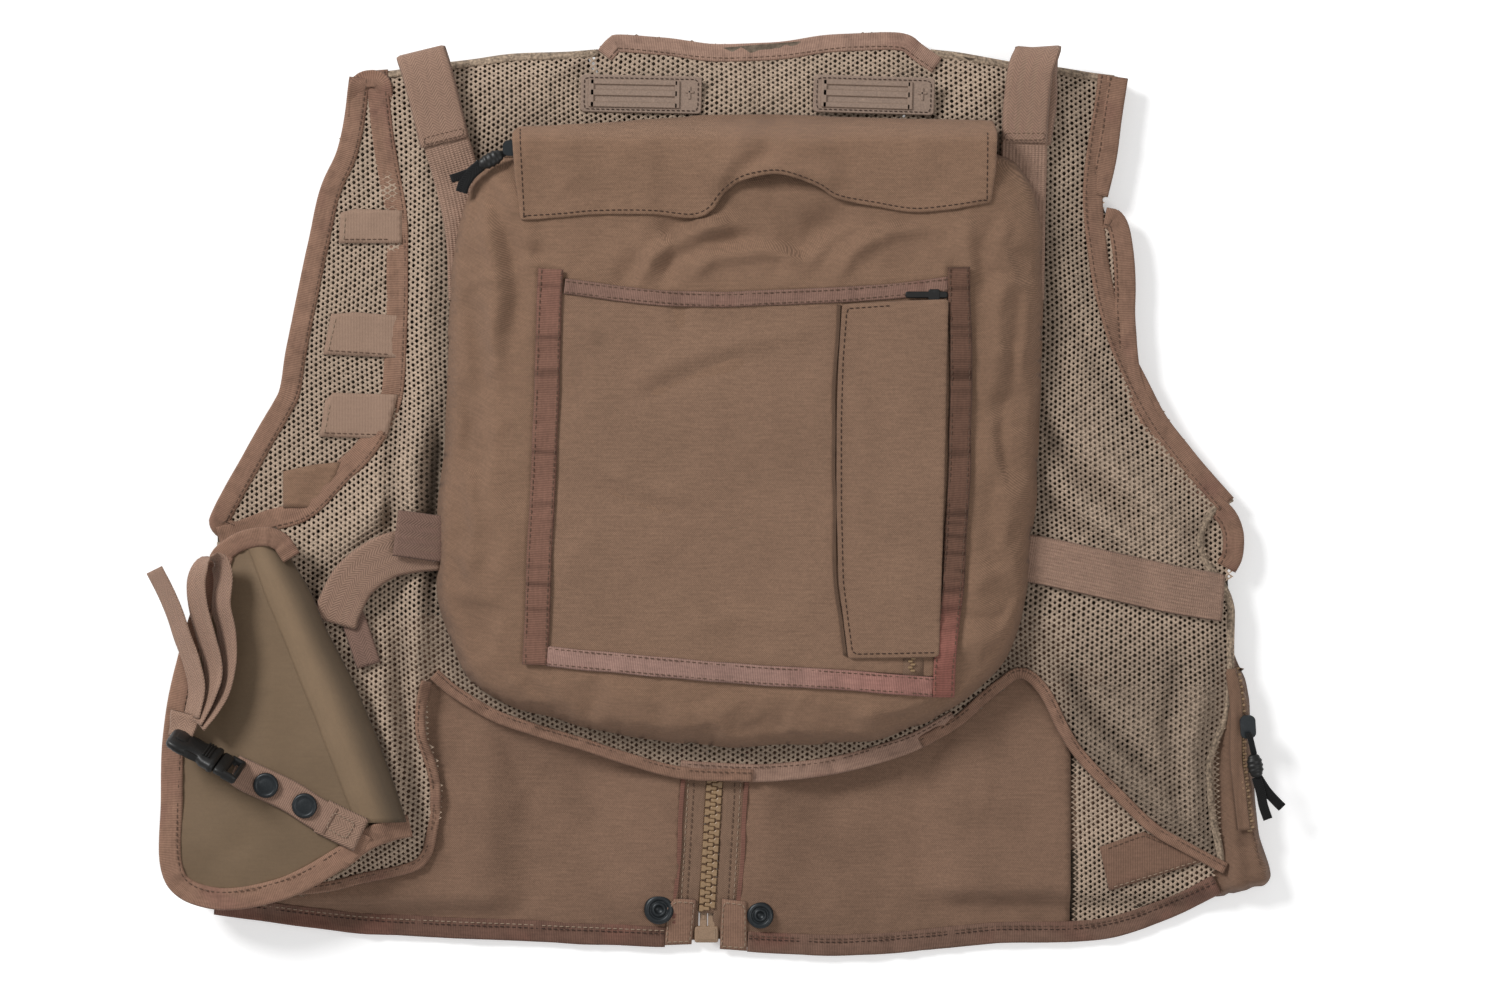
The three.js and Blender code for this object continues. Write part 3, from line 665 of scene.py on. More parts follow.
PAD = fabric("padded_cloth", (0.17, 0.113, 0.066), "twill", 0.0006, contrast=0.1, mottle=0.05, depth=0.00006,
             roughness=0.62,
             sheen=0.1, specular=0.3)
ZIP_TAPE = fabric("zip_tape", (0.2, 0.124, 0.084), "herringbone", 0.0012, contrast=0.2,
                  second=(0.25, 0.105, 0.08),
                  second_range=(0.75, 0.95))
TEETH = moulded("zip_teeth", (0.27, 0.172, 0.092), 0.4, scuff=0.8)
ZIP_BOX = moulded("zip_box", (0.27, 0.175, 0.11), 0.45)
RUBBER = moulded("moulded_tab", (0.25, 0.175, 0.132), 0.6, grain=0.0009, depth=0.00008)
BLACK = moulded("black_plastic", (0.0105, 0.0102, 0.0098), 0.44, scuff=0.25, specular=0.36)
METAL = moulded("dark_metal", (0.018, 0.022, 0.025), 0.4, metallic=0.3, scuff=0.45, specular=0.42)
CORD = fabric("black_cord", (0.012, 0.012, 0.012), "herringbone", 0.0012, contrast=0.3, depth=0.0003)
THREAD_COLOURS = {"brown": (0.15, 0.09, 0.063), "pale": (0.4, 0.29, 0.21), "dark": (0.06, 0.034, 0.025)}
THREADS = {name: fabric(f"thread_{name}", colour, "tape", 0.0005, roughness=0.6)
           for name, colour in THREAD_COLOURS.items()}


def paint_points(obj, **layers):
    """Writes point attributes that darken for dirt and painted shade, lighten for worn spots and painted
    highlights, or fade, each one value or one per point.
    """
    for name, values in layers.items():
        layer = obj.data.attributes.new(name, "FLOAT", "POINT")
        everywhere = np.zeros(len(obj.data.vertices)) + values
        layer.data.foreach_set("value", everywhere.astype(np.float32))


def flat_points(obj):
    """The x, y and z of a piece's points in pattern millimetres."""
    points = np.empty(len(obj.data.vertices) * 3)
    obj.data.vertices.foreach_get("co", points)
    return (points.reshape(-1, 3) * 1000 - ORIGIN).T


# ---------------------------------------------------------------------------------------------
# The two fronts, which lie underneath

LEFT_HEM = [(-265, -217), (-240, -220.5), (-192, -226.5), (-151, -229), (-114, -230.5), (-70, -232.5),
            (-29, -234)]
RIGHT_HEM = [(14, -236.5), (40, -238), (68, -238.5), (110, -235.5), (146, -232), (187, -231.5), (215, -226.5),
             (241, -216.5), (262, -206)]
LEFT_FRONT_ARMHOLE = [(-193.5, 221), (-197, 196), (-200.5, 181), (-208.5, 163), (-215.5, 132), (-225.5, 83),
                      (-229.5, 60),
                      (-234, 50), (-249.5, 23), (-265, -5), (-267, -13), (-263, -19), (-256, -22)]
RIGHT_FRONT_TOP = [(213, 220), (210, 200), (207, 180), (202.5, 158)]
RIGHT_FRONT_ARMHOLE = [(202, 153), (208.5, 151), (213, 144), (215.5, 130), (216.5, 112), (217, 91), (220, 66),
                       (231, 42),
                       (248, 16), (262, 2), (269, -6), (272.5, -14), (273.5, -22), (272.5, -31), (269, -38)]
ZIP_TOP = 118
TWILL_TOP = -60
FRONT_LEVEL = 4.2  # where the fronts sag lowest
FRONT_RISE = 7.8  # and how much they rise over what holds them up
ZIP_LEAN = 0.06
FLOOR_GAP = 0.2


def zip_x(y):
    """The middle of the main zip, which leans a little."""
    return -8 + (y + 232) * ZIP_LEAN


def front_height(x, y):
    """The fronts lie over the cargo pockets, stay up along the zip and sag everywhere else."""
    left = step(-98, -124, x) * step(-219, -206, y)
    right = step(102, 126, x) * step(-214, -202, y)
    opening = step(64, 22, np.abs(x - zip_x(y))) * step(-240, -196, y)
    outer = np.maximum(step(-130, -166, x) * step(-26, 30, y), step(180, 204, x) * step(-40, 30, y))
    upper = step(-150, -112, y) * (1 - outer) * (1 - 0.8 * step(196, 226, y))
    support = np.maximum.reduce([left, right, opening, upper])
    wrinkles = folds(x, y, [
        (9, 1.4, [(-140, -150), (-100, -178), (-60, -192)]),
        (7, -1.0, [(-128, -170), (-90, -200), (-60, -212)]),
        (10, 1.2, [(150, -190), (110, -170), (70, -168)]), (8, -1.0, [(60, -206), (104, -214), (150, -208)]),
        (5, 0.9, [(-230, -170), (-180, -214)]), (12, 0.9, [(-60, -160), (-30, -205)]),
    ])
    support = np.maximum(support, 0.28 * outer)
    creased = 0.7 * crinkle(x, y, 44, 7.0) - 0.5 * crinkle(x, y, 36, 6.0)
    return FRONT_LEVEL + FRONT_RISE * support + wrinkles + creased + 0.45 * ripple(x, y, 34,
                                                                                   1.0) * (1 - 0.5 * support)


def inner_edge(side, y):
    """Where a front's cloth ends beside the main zip."""
    return zip_x(y) + side * 15.5, y


def front_twills():
    seam = TWILL_TOP
    left = [inner_edge(-1, seam), (-262, seam), (-263, -214), *LEFT_HEM[1:-1], inner_edge(-1, -230)]
    right = [inner_edge(1, seam), inner_edge(1, -233), *RIGHT_HEM[1:5], (183, -229), (183, seam)]
    for name, outline in (("left", left), ("right", right)):
        panel = cloth(f"front_twill_{name}", outline, front_height, TWILL_FRONT, 3.2, 1.2)
        x, y, _ = flat_points(panel)
        edge = step(26, 16, np.abs(x - zip_x(y)))
        # Darker towards the hem and in random patches.
        darkening = 0.14 * step(-200, -232, y) + 0.12 * np.clip(ripple(x, y, 22, 5.0), 0, 1)
        paint_points(panel, fade=0.5 * edge, stain=darkening)
        flat_sheet(outline)


def chest_mesh():
    """Open net where it shows, and dark sheets behind it and over the rest, darkened as painted shade seen
    through the holes.
    """
    seam = TWILL_TOP
    zip_end = inner_edge(-1, ZIP_TOP)
    left = [(-70, 228), (-125, 221), (-188, 216), *LEFT_FRONT_ARMHOLE[1:], (-262, seam), inner_edge(-1, seam),
            zip_end, (-38, 170), (-62, 212)]
    right = [inner_edge(1, ZIP_TOP), inner_edge(1, seam), (183, seam), (183, -226), (200, -225), (239, -212),
             (261, -202), (266, seam), *RIGHT_FRONT_ARMHOLE[::-1], *RIGHT_FRONT_TOP[::-1], (150, 221),
             (113, 227), (100, 205), (66, 160)]
    shows_left = lambda x, y: within(x, y, left, 2.5) & (x < -158) & (y > -30)
    shows_right = lambda x, y: within(x, y, right, 2.5) & (((x > 186) & (y > -44)) | ((x > 183) & (y < -96)))
    net("front_mesh_left", shows_left, (-268, -30, -156, 218), front_height)
    net("front_mesh_right", shows_right, (182, -229, 274, 222), front_height)

    under_left = beside(resample(LEFT_FRONT_ARMHOLE[:11], 8), 4.5)[1:]
    under_right = beside(resample(RIGHT_FRONT_TOP + RIGHT_FRONT_ARMHOLE[3:], 8), -4.5)[1:]
    hidden_left = [(-62, 212), (-70, 234), (-110, 231), (-150, 226), (-188.5, 221.5), *under_left,
                   (-262, seam), inner_edge(-1, seam), zip_end, (-38, 170)]
    hidden_right = [inner_edge(1, ZIP_TOP), (66, 160), (100, 205), (110, 234), (151, 228), (180, 224),
                    (205, 220), *under_right, (266, -62), (266.5, -94), (264, -112), (257, -128), (254, -140),
                    (256, -164), (260, -186), (260, -200), (239, -212), (200, -224), (183, -226), (183, seam),
                    inner_edge(1, seam)]
    hidden_yoke = [(-66, 234), (-57, 240), (-50, 241), (-2, 236), (60, 241), (97, 241), (106, 236),
                   (113, 231),
                   (100, 205), (66, 176), (-40, 176), (-62, 212)]
    # Each sheet is darkened as painted shade where it shows through the net above it.
    shaded_sheets = {"left": (hidden_left, NET_BELOW_PAINTED_SHADE), "right": (hidden_right[::-1], NET_BELOW_PAINTED_SHADE),
               "yoke": (hidden_yoke[::-1], LINING_PAINTED_SHADE)}
    for name, (outline, looks) in shaded_sheets.items():
        sheet = cloth(f"front_mesh_inner_{name}", outline, above(front_height, -1.8), looks, 7.0, 1.0,
                      slot="mesh")
        flat_sheet(outline)


def front_hems():
    width = 11
    for name, hem, looks, thread in (("left", LEFT_HEM, HEM, "pale"),
                                     ("right", RIGHT_HEM, HEM_BROWN, "brown")):
        obj = draped_band(f"hem_binding_{name}", hem, band(width, 1.1, 1.5), front_height, looks, seed=2.0,
                          pucker=0.45)
        x, y, _ = flat_points(obj)
        fade = 0.5 * step(0.1, 0.6, ripple(x, y, 30, 8.0))
        paint_points(obj, fade=fade, stain=0.1 * step(0, 0.5, ripple(x, y, 6, 2.0)))
        sew_on(hem, front_height, offset=width - 2.2, lift=1.25, colour=thread)
        sew_on(hem, front_height, offset=width - 3.8, lift=1.3, colour="dark")
    seam = TWILL_TOP - 4
    sew_on([(-262, seam), (-16, seam)], front_height, curve=False)


def front_patches():
    """The side patch, the three loop patches and the scrap below them, and the armholes' bindings."""
    patch = [(198, -181), (221, -173), (254, -188), (203, -204)]
    side = cloth("side_patch", patch, above(front_height, 1.6), BINDING, 3, 1.1, slot="patch")
    paint_points(side, stain=0.2)
    sew_on([(205, -202), (252, -187.5)], front_height, lift=1.75, colour="pale", curve=False)
    sew_on([(202, -182), (221, -175), (250, -187)], front_height, lift=1.75, curve=False)
    places = {"top": [(-199, 134), (-198, 150), (-190, 152), (-166, 151), (-166, 134)],
              "middle": [(-207, 76), (-203, 97), (-190, 98), (-166, 96), (-166, 74)],
              "bottom": [(-209, 33), (-206, 52), (-202, 56), (-168, 55), (-174, 32)]}
    for place, outline in places.items():
        level = above(front_height, 1.5)
        cloth(f"loop_patch_{place}", outline[::-1], level, PATCH, 2.5, 1.0, slot="patch")
        (x0, y0), (x1, y1) = outline[:2]
        sew_on([(x0 + 2.5, y0 + 1.5), (x1 + 2.5, y1 - 2)], level, colour="pale", curve=False)
        sew_on([(x0 + 2.5, y0 + 2), (-173, outline[-1][1] + 2)], level, curve=False)
    scrap = [(-228, -4), (-206, -4), (-198, 20), (-212, 18.5), (-228, 15)]
    cloth("underarm_patch", scrap, above(front_height, 1.4), TWILL, 3, 1.0)
    lay_binding("armhole_front_left", LEFT_FRONT_ARMHOLE, 11, 1, front_height, BINDING)
    lay_binding("armhole_front_right_top", RIGHT_FRONT_TOP, 11, -1, front_height, BINDING)
    lay_binding("armhole_front_right", RIGHT_FRONT_ARMHOLE, 11, -1, front_height, BINDING)


def lay_binding(name, path, width, side, height, looks, **options):
    """A folded binding with its row of stitching."""
    obj = draped_band(name, path, band(width, 1.2, 1.6), height, looks, side=side, seed=len(name) * 1.7,
                      **options)
    x, y, _ = flat_points(obj)
    worn = 0.1 * step(0.2, 0.8, ripple(x, y, 9, 9.0))
    paint_points(obj, stain=0.16 * step(0.15, 0.7, ripple(x, y, 5, 4.0)), wear=worn)
    sew_on(path, height, offset=side * (width - 1.8), lift=1.3)


def flat_sheet(outline):
    """Takes a sheet's outline and does nothing with it."""
    outline = np.asarray(outline, float)


NET_ACROSS = 2.42  # from a hole to the next one but one in its row
NET_DOWN = 1.42  # from a row of holes to the next
NET_HOLE = 0.9  # a hole's radius
NET_WARP = 1.6
COMPASS = np.array([(2, 0), (1, 1), (0, 2), (-1, 1), (-2, 0), (-1, -1), (0, -2), (1, -1)])


def net(name, test, bounds, height, replaces=(), shade=None):
    """Knitted net as a tiling of diamonds, each with a round hole. One row is half a cell from the next."""
    x0, y0, x1, y1 = bounds
    columns = np.arange(int(x0 / NET_ACROSS), int(x1 / NET_ACROSS) + 1)
    i, j = np.meshgrid(columns, np.arange(int(y0 / NET_DOWN), int(y1 / NET_DOWN) + 1))
    even = (i + j) % 2 == 0
    i, j = i[even], j[even]
    keep = test(i * NET_ACROSS, j * NET_DOWN)
    i, j = i[keep], j[keep]
    cx, cy = i * NET_ACROSS, j * NET_DOWN
    outer = np.stack([2 * i[:, None] + COMPASS[:, 0], 2 * j[:, None] + COMPASS[:, 1]], axis=-1)
    keys, index = np.unique(outer.reshape(-1, 2), axis=0, return_inverse=True)
    index = index.reshape(len(i), 8)
    crossing = (keys.sum(1) % 4 == 2) & (keys[:, 0] % 2 == 0)
    angle = np.arctan2(COMPASS[:, 1], COMPASS[:, 0])
    size = NET_HOLE * (1 + 0.12 * np.sin(i * 12.9898 + j * 78.233) + 0.1 * np.sin(i * 4.1 + j * 2.3))
    reach = np.where(np.arange(8) % 2 == 0, 1.0, 0.84)
    hole_x = cx[:, None] + size[:, None] * reach * np.cos(angle) * 0.95
    hole_y = cy[:, None] + size[:, None] * reach * np.sin(angle)
    x = np.concatenate([keys[:, 0] * NET_ACROSS / 2, hole_x.ravel()])
    y = np.concatenate([keys[:, 1] * NET_DOWN / 2, hole_y.ravel()])
    warped_x = x + NET_WARP * ripple(x, y, 60, 21.0)
    warped_y = y + NET_WARP * ripple(x, y, 60, 31.0)
    rise = np.concatenate([np.where(crossing, 0.3, 0.2), np.full(hole_x.size, -0.42)])
    points = np.column_stack([warped_x, warped_y, height(warped_x, warped_y) + rise])
    hole = len(keys) + np.arange(hole_x.size).reshape(-1, 8)
    faces = []
    for k in range(8):
        n = (k + 1) % 8
        faces.append(np.column_stack([index[:, k], index[:, n], hole[:, n], hole[:, k]]))
    obj = piece(name, points, np.vstack(faces), NET, uv=np.column_stack([x, y]), slot="mesh",
                replaces=replaces)
    x, y, _ = flat_points(obj)
    paint_points(obj, stain=shade(x, y) if shade else 0)
    width, length = np.ptp(cx) + NET_ACROSS, np.ptp(cy) + NET_DOWN


# ---------------------------------------------------------------------------------------------
# The main zip

ZIP_PITCH = 4.2


def zip_level(_, y):
    return front_height(zip_x(y), y) - 1.0


def beside_zip(across, ys):
    return np.column_stack([zip_x(ys) + across, ys])


def main_zip():
    """Two tapes, their stitching and piping, moulded teeth over a core, and the box with its pin."""
    ys = np.arange(-230, ZIP_TOP, 6.0)
    for name, side in (("left", -1), ("right", 1)):
        strip = draped_band(f"zip_tape_{name}", beside_zip(side * 10.8, ys), webbing_section(14, 0.8),
                            zip_level,
                            ZIP_TAPE, pucker=0.12, slot="zip_chain", replaces=[f"front_zip_half_{name}"])
        x, y, _ = flat_points(strip)
        paint_points(strip, fade=0.8 * step(14.5, 17, np.abs(x - zip_x(y))))
        edge = beside_zip(side * 15.2, ys)
        for offset, colour in ((-1.5, "pale"), (-4.5, "brown")):
            sew_on(edge + (side * offset, 0), above(zip_level, 0.5), colour=colour)
        piping = draped_band(f"zip_edge_{name}", beside_zip(side * 16.6, ys), webbing_section(2.4, 1.6),
                             above(zip_level, 1.0), HEM)
        paint_points(piping, fade=0.8)
    draped_band("zip_core", beside_zip(0, np.arange(-216, ZIP_TOP, 6.0)), webbing_section(8.2, 1.2),
                above(zip_level, -0.4), ZIP_TAPE, pucker=0.0, slot="zip_chain")

    tooth = [(-4.2, -1.75), (-2.2, -1.75), (-1.4, -0.95), (-0.4, -1.02), (0.9, -1.02), (1.35, -0.6),
             (1.35, 0.6),
             (0.9, 1.02), (-0.4, 1.02), (-1.4, 0.95), (-2.2, 1.75), (-4.2, 1.75)]
    shape, faces = prism(tooth, [(0.35, -1.5), (0, -1.2), (0, 0.9), (0.25, 1.35), (0.55, 1.5)])
    teeth = []
    for k in range(int((ZIP_TOP + 214) / ZIP_PITCH)):
        for turn, shift in ((0, 0), (math.pi, ZIP_PITCH / 2)):
            y = -213.5 + k * ZIP_PITCH + shift
            angle = turn - math.atan(ZIP_LEAN) + 0.02 * math.sin(k * 7.1 + turn)
            teeth.append((turned(shape, angle_z=angle, at=(zip_x(y), y, spot(zip_level, 0, y))), faces))
    points, faces = merge(teeth)
    piece("zip_teeth", points, faces, TEETH, slot="zip_chain", flat=True)

    pin = [(0, -1.6), (0, 1.1), (0.4, 1.6)]
    parts = [prism(rounded(-13.4, -231.5, -1.0, -223, 1.1),
                   [(0, -2), (0, -1.6), (0, 1.4), (0.4, 1.9), (0.9, 2.1)]),
             prism(rounded(-12.2, -230.4, -2.2, -224.2, 0.8), [(0, 2.0), (0.3, 2.4), (0.9, 2.5)]),
             prism(rounded(-10.6, -224, -6.9, -214.5, 0.7), pin),
             prism(rounded(-6.3, -224, -2.6, -214.5, 0.7), pin),
             prism(rounded(-9.6, -219.5, -7.9, -216.6, 0.5), [(0, 1.5), (0.2, 1.9)])]
    points, faces = merge(parts)
    piece("zip_box", points + (0, 0, spot(zip_level, 0, -226)), faces, ZIP_BOX, slot="zip_chain", flat=True)
    tabs = {"left": [(-29, -233), (-15, -232.5), (-12.5, -209), (-24, -208.5), (-27.5, -213)],
            "right": [(-0.2, -235), (14, -236), (13.7, -210), (1, -208.5)]}
    for name, outline in tabs.items():
        level = above(front_height, 1.0)
        cloth(f"zip_tab_{name}", outline, level, BINDING, 2.5, 1.6, slot="binding_tape")
        edge = np.array(outline) * 0.88 + np.mean(outline, axis=0) * 0.12
        sew_on(closed(edge), level, curve=False, colour="pale")


def hem_snaps():
    ring = [(0, 0), (7.4, 0), (7.8, 0.5), (7.7, 1.1), (7.0, 1.9), (6.0, 2.3), (5.2, 2.1), (4.9, 1.3),
            (4.3, 1.1),
            (3.9, 1.6), (3.3, 2.4), (2.7, 2.5), (2.3, 2.1), (2.0, 0.7), (0, 0.7)]
    for name, x, y, size in (("left", -32, -214, 1.0), ("right", 21, -217, 0.9)):
        points, faces = lathe(np.array(ring) * size)
        z = spot(front_height, x, y) + 0.1
        piece(f"hem_snap_{name}", points + (x, y, z), faces, METAL, slot="dark_metal")


# ---------------------------------------------------------------------------------------------
# The net back

LEFT_BACK_ARMHOLE = [(-185, 224), (-183, 200), (-179, 172), (-175, 149), (-174, 120), (-175, 83), (-176, 62),
                     (-178, 52), (-183, 41), (-192, 28), (-202, 18), (-213, 6), (-222, -1), (-237, -5),
                     (-252, -11),
                     (-263, -14)]
RIGHT_BACK_ARMHOLE = [(208, 221), (202.5, 187), (199.5, 157), (202.5, 130), (207, 104), (215.5, 78),
                      (230, 49),
                      (245, 28), (257, 14), (268, 1)]
RIGHT_SIDE = [(268, 0), (258, -6), (252, -18), (254, -30), (262, -41), (267, -53), (268, -64), (267, -94),
              (266, -111),
              (260, -127), (256.5, -139), (258, -163), (262, -182), (263, -192)]
LEFT_SIDE = [(-262, -22), (-262, -100), (-261, -208)]
COLLAR_LINE = [(-64, 235), (-59, 241), (-53, 243.5), (-30, 241.5), (-2, 238.5), (29, 239.5), (60, 243.5),
               (87, 244.5),
               (99, 243), (106, 238), (116, 231)]
LEFT_SHOULDER = [(-64, 235), (-110, 232), (-150, 227), (-188, 222)]
RIGHT_SHOULDER = [(110, 235), (151, 229), (180, 225), (206, 221)]
BACK_HEM = [(-151, -93), (-141, -102), (-125, -112), (-109, -119), (-73, -130), (-48, -138), (-21, -145),
            (17, -147), (56, -144), (86, -136),
            (106, -129), (125, -118), (138, -107), (149, -98), (157, -93), (166, -101), (177, -122),
            (187, -137),
            (203, -153), (222, -172), (242, -184), (262, -195)]
LEFT_HEM_TURN = [(-150, -95), (-153, -108), (-153, -122), (-149, -135), (-146, -148), (-145.5, -163),
                 (-148, -178),
                 (-152, -188), (-161, -194), (-185, -200), (-208, -205), (-258, -210)]
POUCH = [(-121, 176), (-130, 162), (-137, 138), (-141, 100), (-142.5, 42), (-147, -10), (-146, -52),
         (-139.5, -76), (-128, -95),
         (-112, -105.5), (-89, -113.5), (-57, -121), (-21, -126.5), (22, -128), (65, -126), (88, -122.5),
         (109, -115),
         (131, -101), (146, -86), (154.5, -70), (161, -36), (165.5, 26), (167.5, 78), (168, 134), (163, 162),
         (153, 177)]

BACK_LEVEL = 21.0
BACK_EDGES = [  # a line, the level that the back drops to along it, and how far in the drop starts
    (LEFT_BACK_ARMHOLE, 11.5, 34), (RIGHT_BACK_ARMHOLE, 11.5, 36), (RIGHT_SIDE, 14.5, 16),
              (LEFT_SIDE, 15.5, 12),
    (COLLAR_LINE, 9.0, 34), (LEFT_SHOULDER, 10.0, 16), (RIGHT_SHOULDER, 10.0, 16), (BACK_HEM, 15.2, 22),
    (LEFT_HEM_TURN, 14.8, 18),
]
BACK_FOLDS = [  # width, height and path
    (8, 3.6, [(166, 62), (186, 34), (214, 8), (246, -22)]),
    (5, -3.2, [(166, 40), (190, 12), (226, -14)]),
    (6, 3.2, [(166, 20), (190, -4), (226, -30)]),
    (4, -2.6, [(166, 4), (188, -14), (214, -30)]),
    (5, -1.6, [(178, 104), (198, 66), (226, 26)]),
    (8, 2.2, [(172, 150), (184, 112), (204, 74)]),
    (5, 1.8, [(162, -56), (196, -74), (240, -84)]),
    (6, -1.6, [(160, -66), (190, -92), (222, -108)]),
    (7, 3.8, [(164, -84), (186, -118), (222, -152), (250, -178)]),
    (5, -3.6, [(176, -84), (200, -118), (236, -152)]),
    (7, 2.4, [(190, -80), (216, -108), (240, -140)]),
    (5, -2.4, [(240, -78), (232, -120), (240, -168)]),
    (6, 2.4, [(250, -90), (246, -130), (250, -176)]),
    (6, 3.6, [(-157, 70), (-161, 24), (-158, -16)]),
    (4, -3.6, [(-168, 64), (-172, 20), (-172, -24)]),
    (3.5, -3.0, [(-147, 40), (-151, -6), (-150, -60)]),
    (5, -2.2, [(-170, 190), (-166, 150), (-166, 100)]),
    (5, 2.4, [(-158, 190), (-154, 140), (-153, 80)]),
    (7, 5.0, [(-157, -24), (-158, -70), (-156, -110), (-154, -142)]),
    (5, -4.2, [(-168, -56), (-166, -100), (-160, -140), (-157, -172)]),
    (6, 3.4, [(-178, -84), (-172, -125), (-166, -164)]),
    (6, 2.4, [(-150, 60), (-156, 20), (-160, -20)]),
    (5, -1.8, [(-144, 40), (-149, 0), (-156, -40)]),
    (5, 2.0, [(-164, 24), (-176, -4), (-196, -26)]),
    (6, 1.8, [(-168, 190), (-160, 140), (-160, 96)]),
    (6, 1.4, [(-126, 214), (-100, 206), (-84, 210)]),
    (7, 1.2, [(0, 226), (26, 214), (44, 218)]),
    (7, 1.4, [(124, 222), (134, 204), (146, 196)]),
    (6, 1.6, [(180, 214), (186, 186), (188, 160)]),
]


def crease_shade(x, y, table):
    """Painted shade that sits in a cloth's valleys."""
    valleys = sum(np.clip(-fold(x, y, path, width * 0.8, height), 0, 9) for width, height, path in table)
    return np.clip(valleys * 0.07, 0, 0.4)


def back_height(x, y):
    """The back panel drapes down to the fronts along its edges, with creases off the loaded pouch."""
    drop = np.zeros(np.shape(x))
    for path, level, width in BACK_EDGES:
        distance = nearest(x, y, path)[0]
        drop = np.maximum(drop, (BACK_LEVEL - level) * (1 - step(0, width, distance)))
    calm = 1 - 0.6 * drop / 12
    return BACK_LEVEL - drop + (1.35 * folds(x, y, BACK_FOLDS) + 0.8 * ripple(x, y, 26, 3.0)) * calm


def scaled(outline, scale):
    """An outline drawn in or out from its middle."""
    centre = np.mean(outline, axis=0)
    return (np.array(outline) - centre) * scale + centre


def back_mesh():
    outline = [*COLLAR_LINE[1:-1], *RIGHT_SHOULDER, *RIGHT_BACK_ARMHOLE[1:], *RIGHT_SIDE[1:],
               *BACK_HEM[::-1][1:],
               *LEFT_HEM_TURN[1:], *LEFT_SIDE[::-1][1:], *LEFT_BACK_ARMHOLE[::-1], *LEFT_SHOULDER[::-1][1:]]
    behind_pouch = scaled(POUCH, 0.93)
    open_area = lambda x, y: within(x, y, outline, 1.2) & ~inside(x, y, behind_pouch)
    # Painted shade on the net: in its valleys, next to the pouch's edge, along the right part of the hem and at
    # the lower right.
    shade = lambda x, y: (crease_shade(x, y, BACK_FOLDS) + 0.3 * (1 - step(4, 16, nearest(x, y, POUCH)[0]))
                          + 0.22 * (1 - step(8, 24, nearest(x, y, BACK_HEM[14:])[0]))
                          + 0.22 * step(160, 190, x) * step(-50, -90, y))
    net("back_mesh_left", lambda x, y: open_area(x, y) & (x < 15), (-266, -214, 16, 246), back_height,
        ["back_mesh"], shade)
    net("back_mesh_right", lambda x, y: open_area(x, y) & (x >= 15), (14, -214, 274, 246), back_height,
        ["back_mesh"], shade)
    middle = scaled(POUCH, 0.96)
    # A dark sheet under the pouch's edge, as painted shade seen through the net's holes.
    sheet = cloth("back_mesh_inner", middle[::-1], above(back_height, -0.6), NET_BELOW_PAINTED_SHADE, 7.0, 1.0, slot="mesh")
    flat_sheet(middle)


def back_bindings():
    lay_binding("collar_binding", COLLAR_LINE, 9.5, -1, back_height, COLLAR, pucker=0.3)
    lay_binding("armhole_binding_left", LEFT_BACK_ARMHOLE, 11.5, 1, back_height, BINDING)
    lay_binding("armhole_binding_right", RIGHT_BACK_ARMHOLE, 10.5, -1, back_height, BINDING)
    arch = [(-190, 200), (-189.5, 211), (-187.5, 217.5), (-183, 219.5), (-178, 219), (-175.5, 215),
            (-175, 206),
            (-174.5, 198)]
    draped_band("armhole_arch_left", arch, webbing_section(9.5, 1.6),
                lambda x, y: back_height(x, y) - 1.2 + 2.6 * step(207, 216, y), BINDING, pucker=0.3,
                along_step=1.4)
    lay_binding("back_hem_binding", BACK_HEM[6:12], 9.5, 1, back_height, COLLAR, pucker=0.5)
    lay_binding("back_hem_near_left", BACK_HEM[:8], 6.5, 1, above(back_height, 1.2), BINDING, pucker=0.8)
    lay_binding("back_hem_right", BACK_HEM[10:], 6.0, 1, above(back_height, 0.8), BINDING, pucker=0.7)
    lay_binding("back_hem_left", LEFT_HEM_TURN, 5.5, -1, back_height, BINDING, pucker=0.7)
    seams = [("shoulder_seam_left", LEFT_SHOULDER, 1, 4.0), ("shoulder_seam_right", RIGHT_SHOULDER, -1, 4.0),
             ("side_seam_left", LEFT_SIDE, 1, 5.0), ("side_seam_right", RIGHT_SIDE, -1, 5.0)]
    for name, path, side, drop in seams:
        section = np.array([(3.4, 0.2), (1.8, 0.5), (0.6, 0.3), (-0.4, -0.6), (-0.8, -drop * 0.5),
                            (-0.5, -drop),
                            (0.6, -drop), (0.4, -drop * 0.5), (1.0, -0.9), (1.8, -0.5), (3.4, -0.5)])
        draped_band(name, path, section * (side, 1), back_height, SEAM, slot="mesh", pucker=0.3)


# ---------------------------------------------------------------------------------------------
# The pouch


def pillow(distance, reach, power=2.3):
    """A cushion's rounded side, from 0 at its edge to 1 where it is full."""
    return (1 - (1 - np.clip(distance / reach, 0, 1)) ** power) ** (1 / power)


def bag(outline, bottom, height, spacing):
    """A closed shell: a domed top from height(x, y, distance from the edge) and a flat base."""
    points, faces = fill(outline, spacing)
    x, y = points.T
    distance = nearest(x, y, closed(outline))[0]
    on_rim = distance < 1e-6
    top = np.column_stack([points, np.where(on_rim, bottom + 0.6, height(x, y, distance))])
    inner = np.flatnonzero(~on_rim)
    under = np.arange(len(points))
    under[inner] = len(points) + np.arange(len(inner))
    base = np.column_stack([points[inner], np.full(len(inner), float(bottom))])
    return np.vstack([top, base]), list(faces) + [tuple(under[list(f)])[::-1] for f in faces]


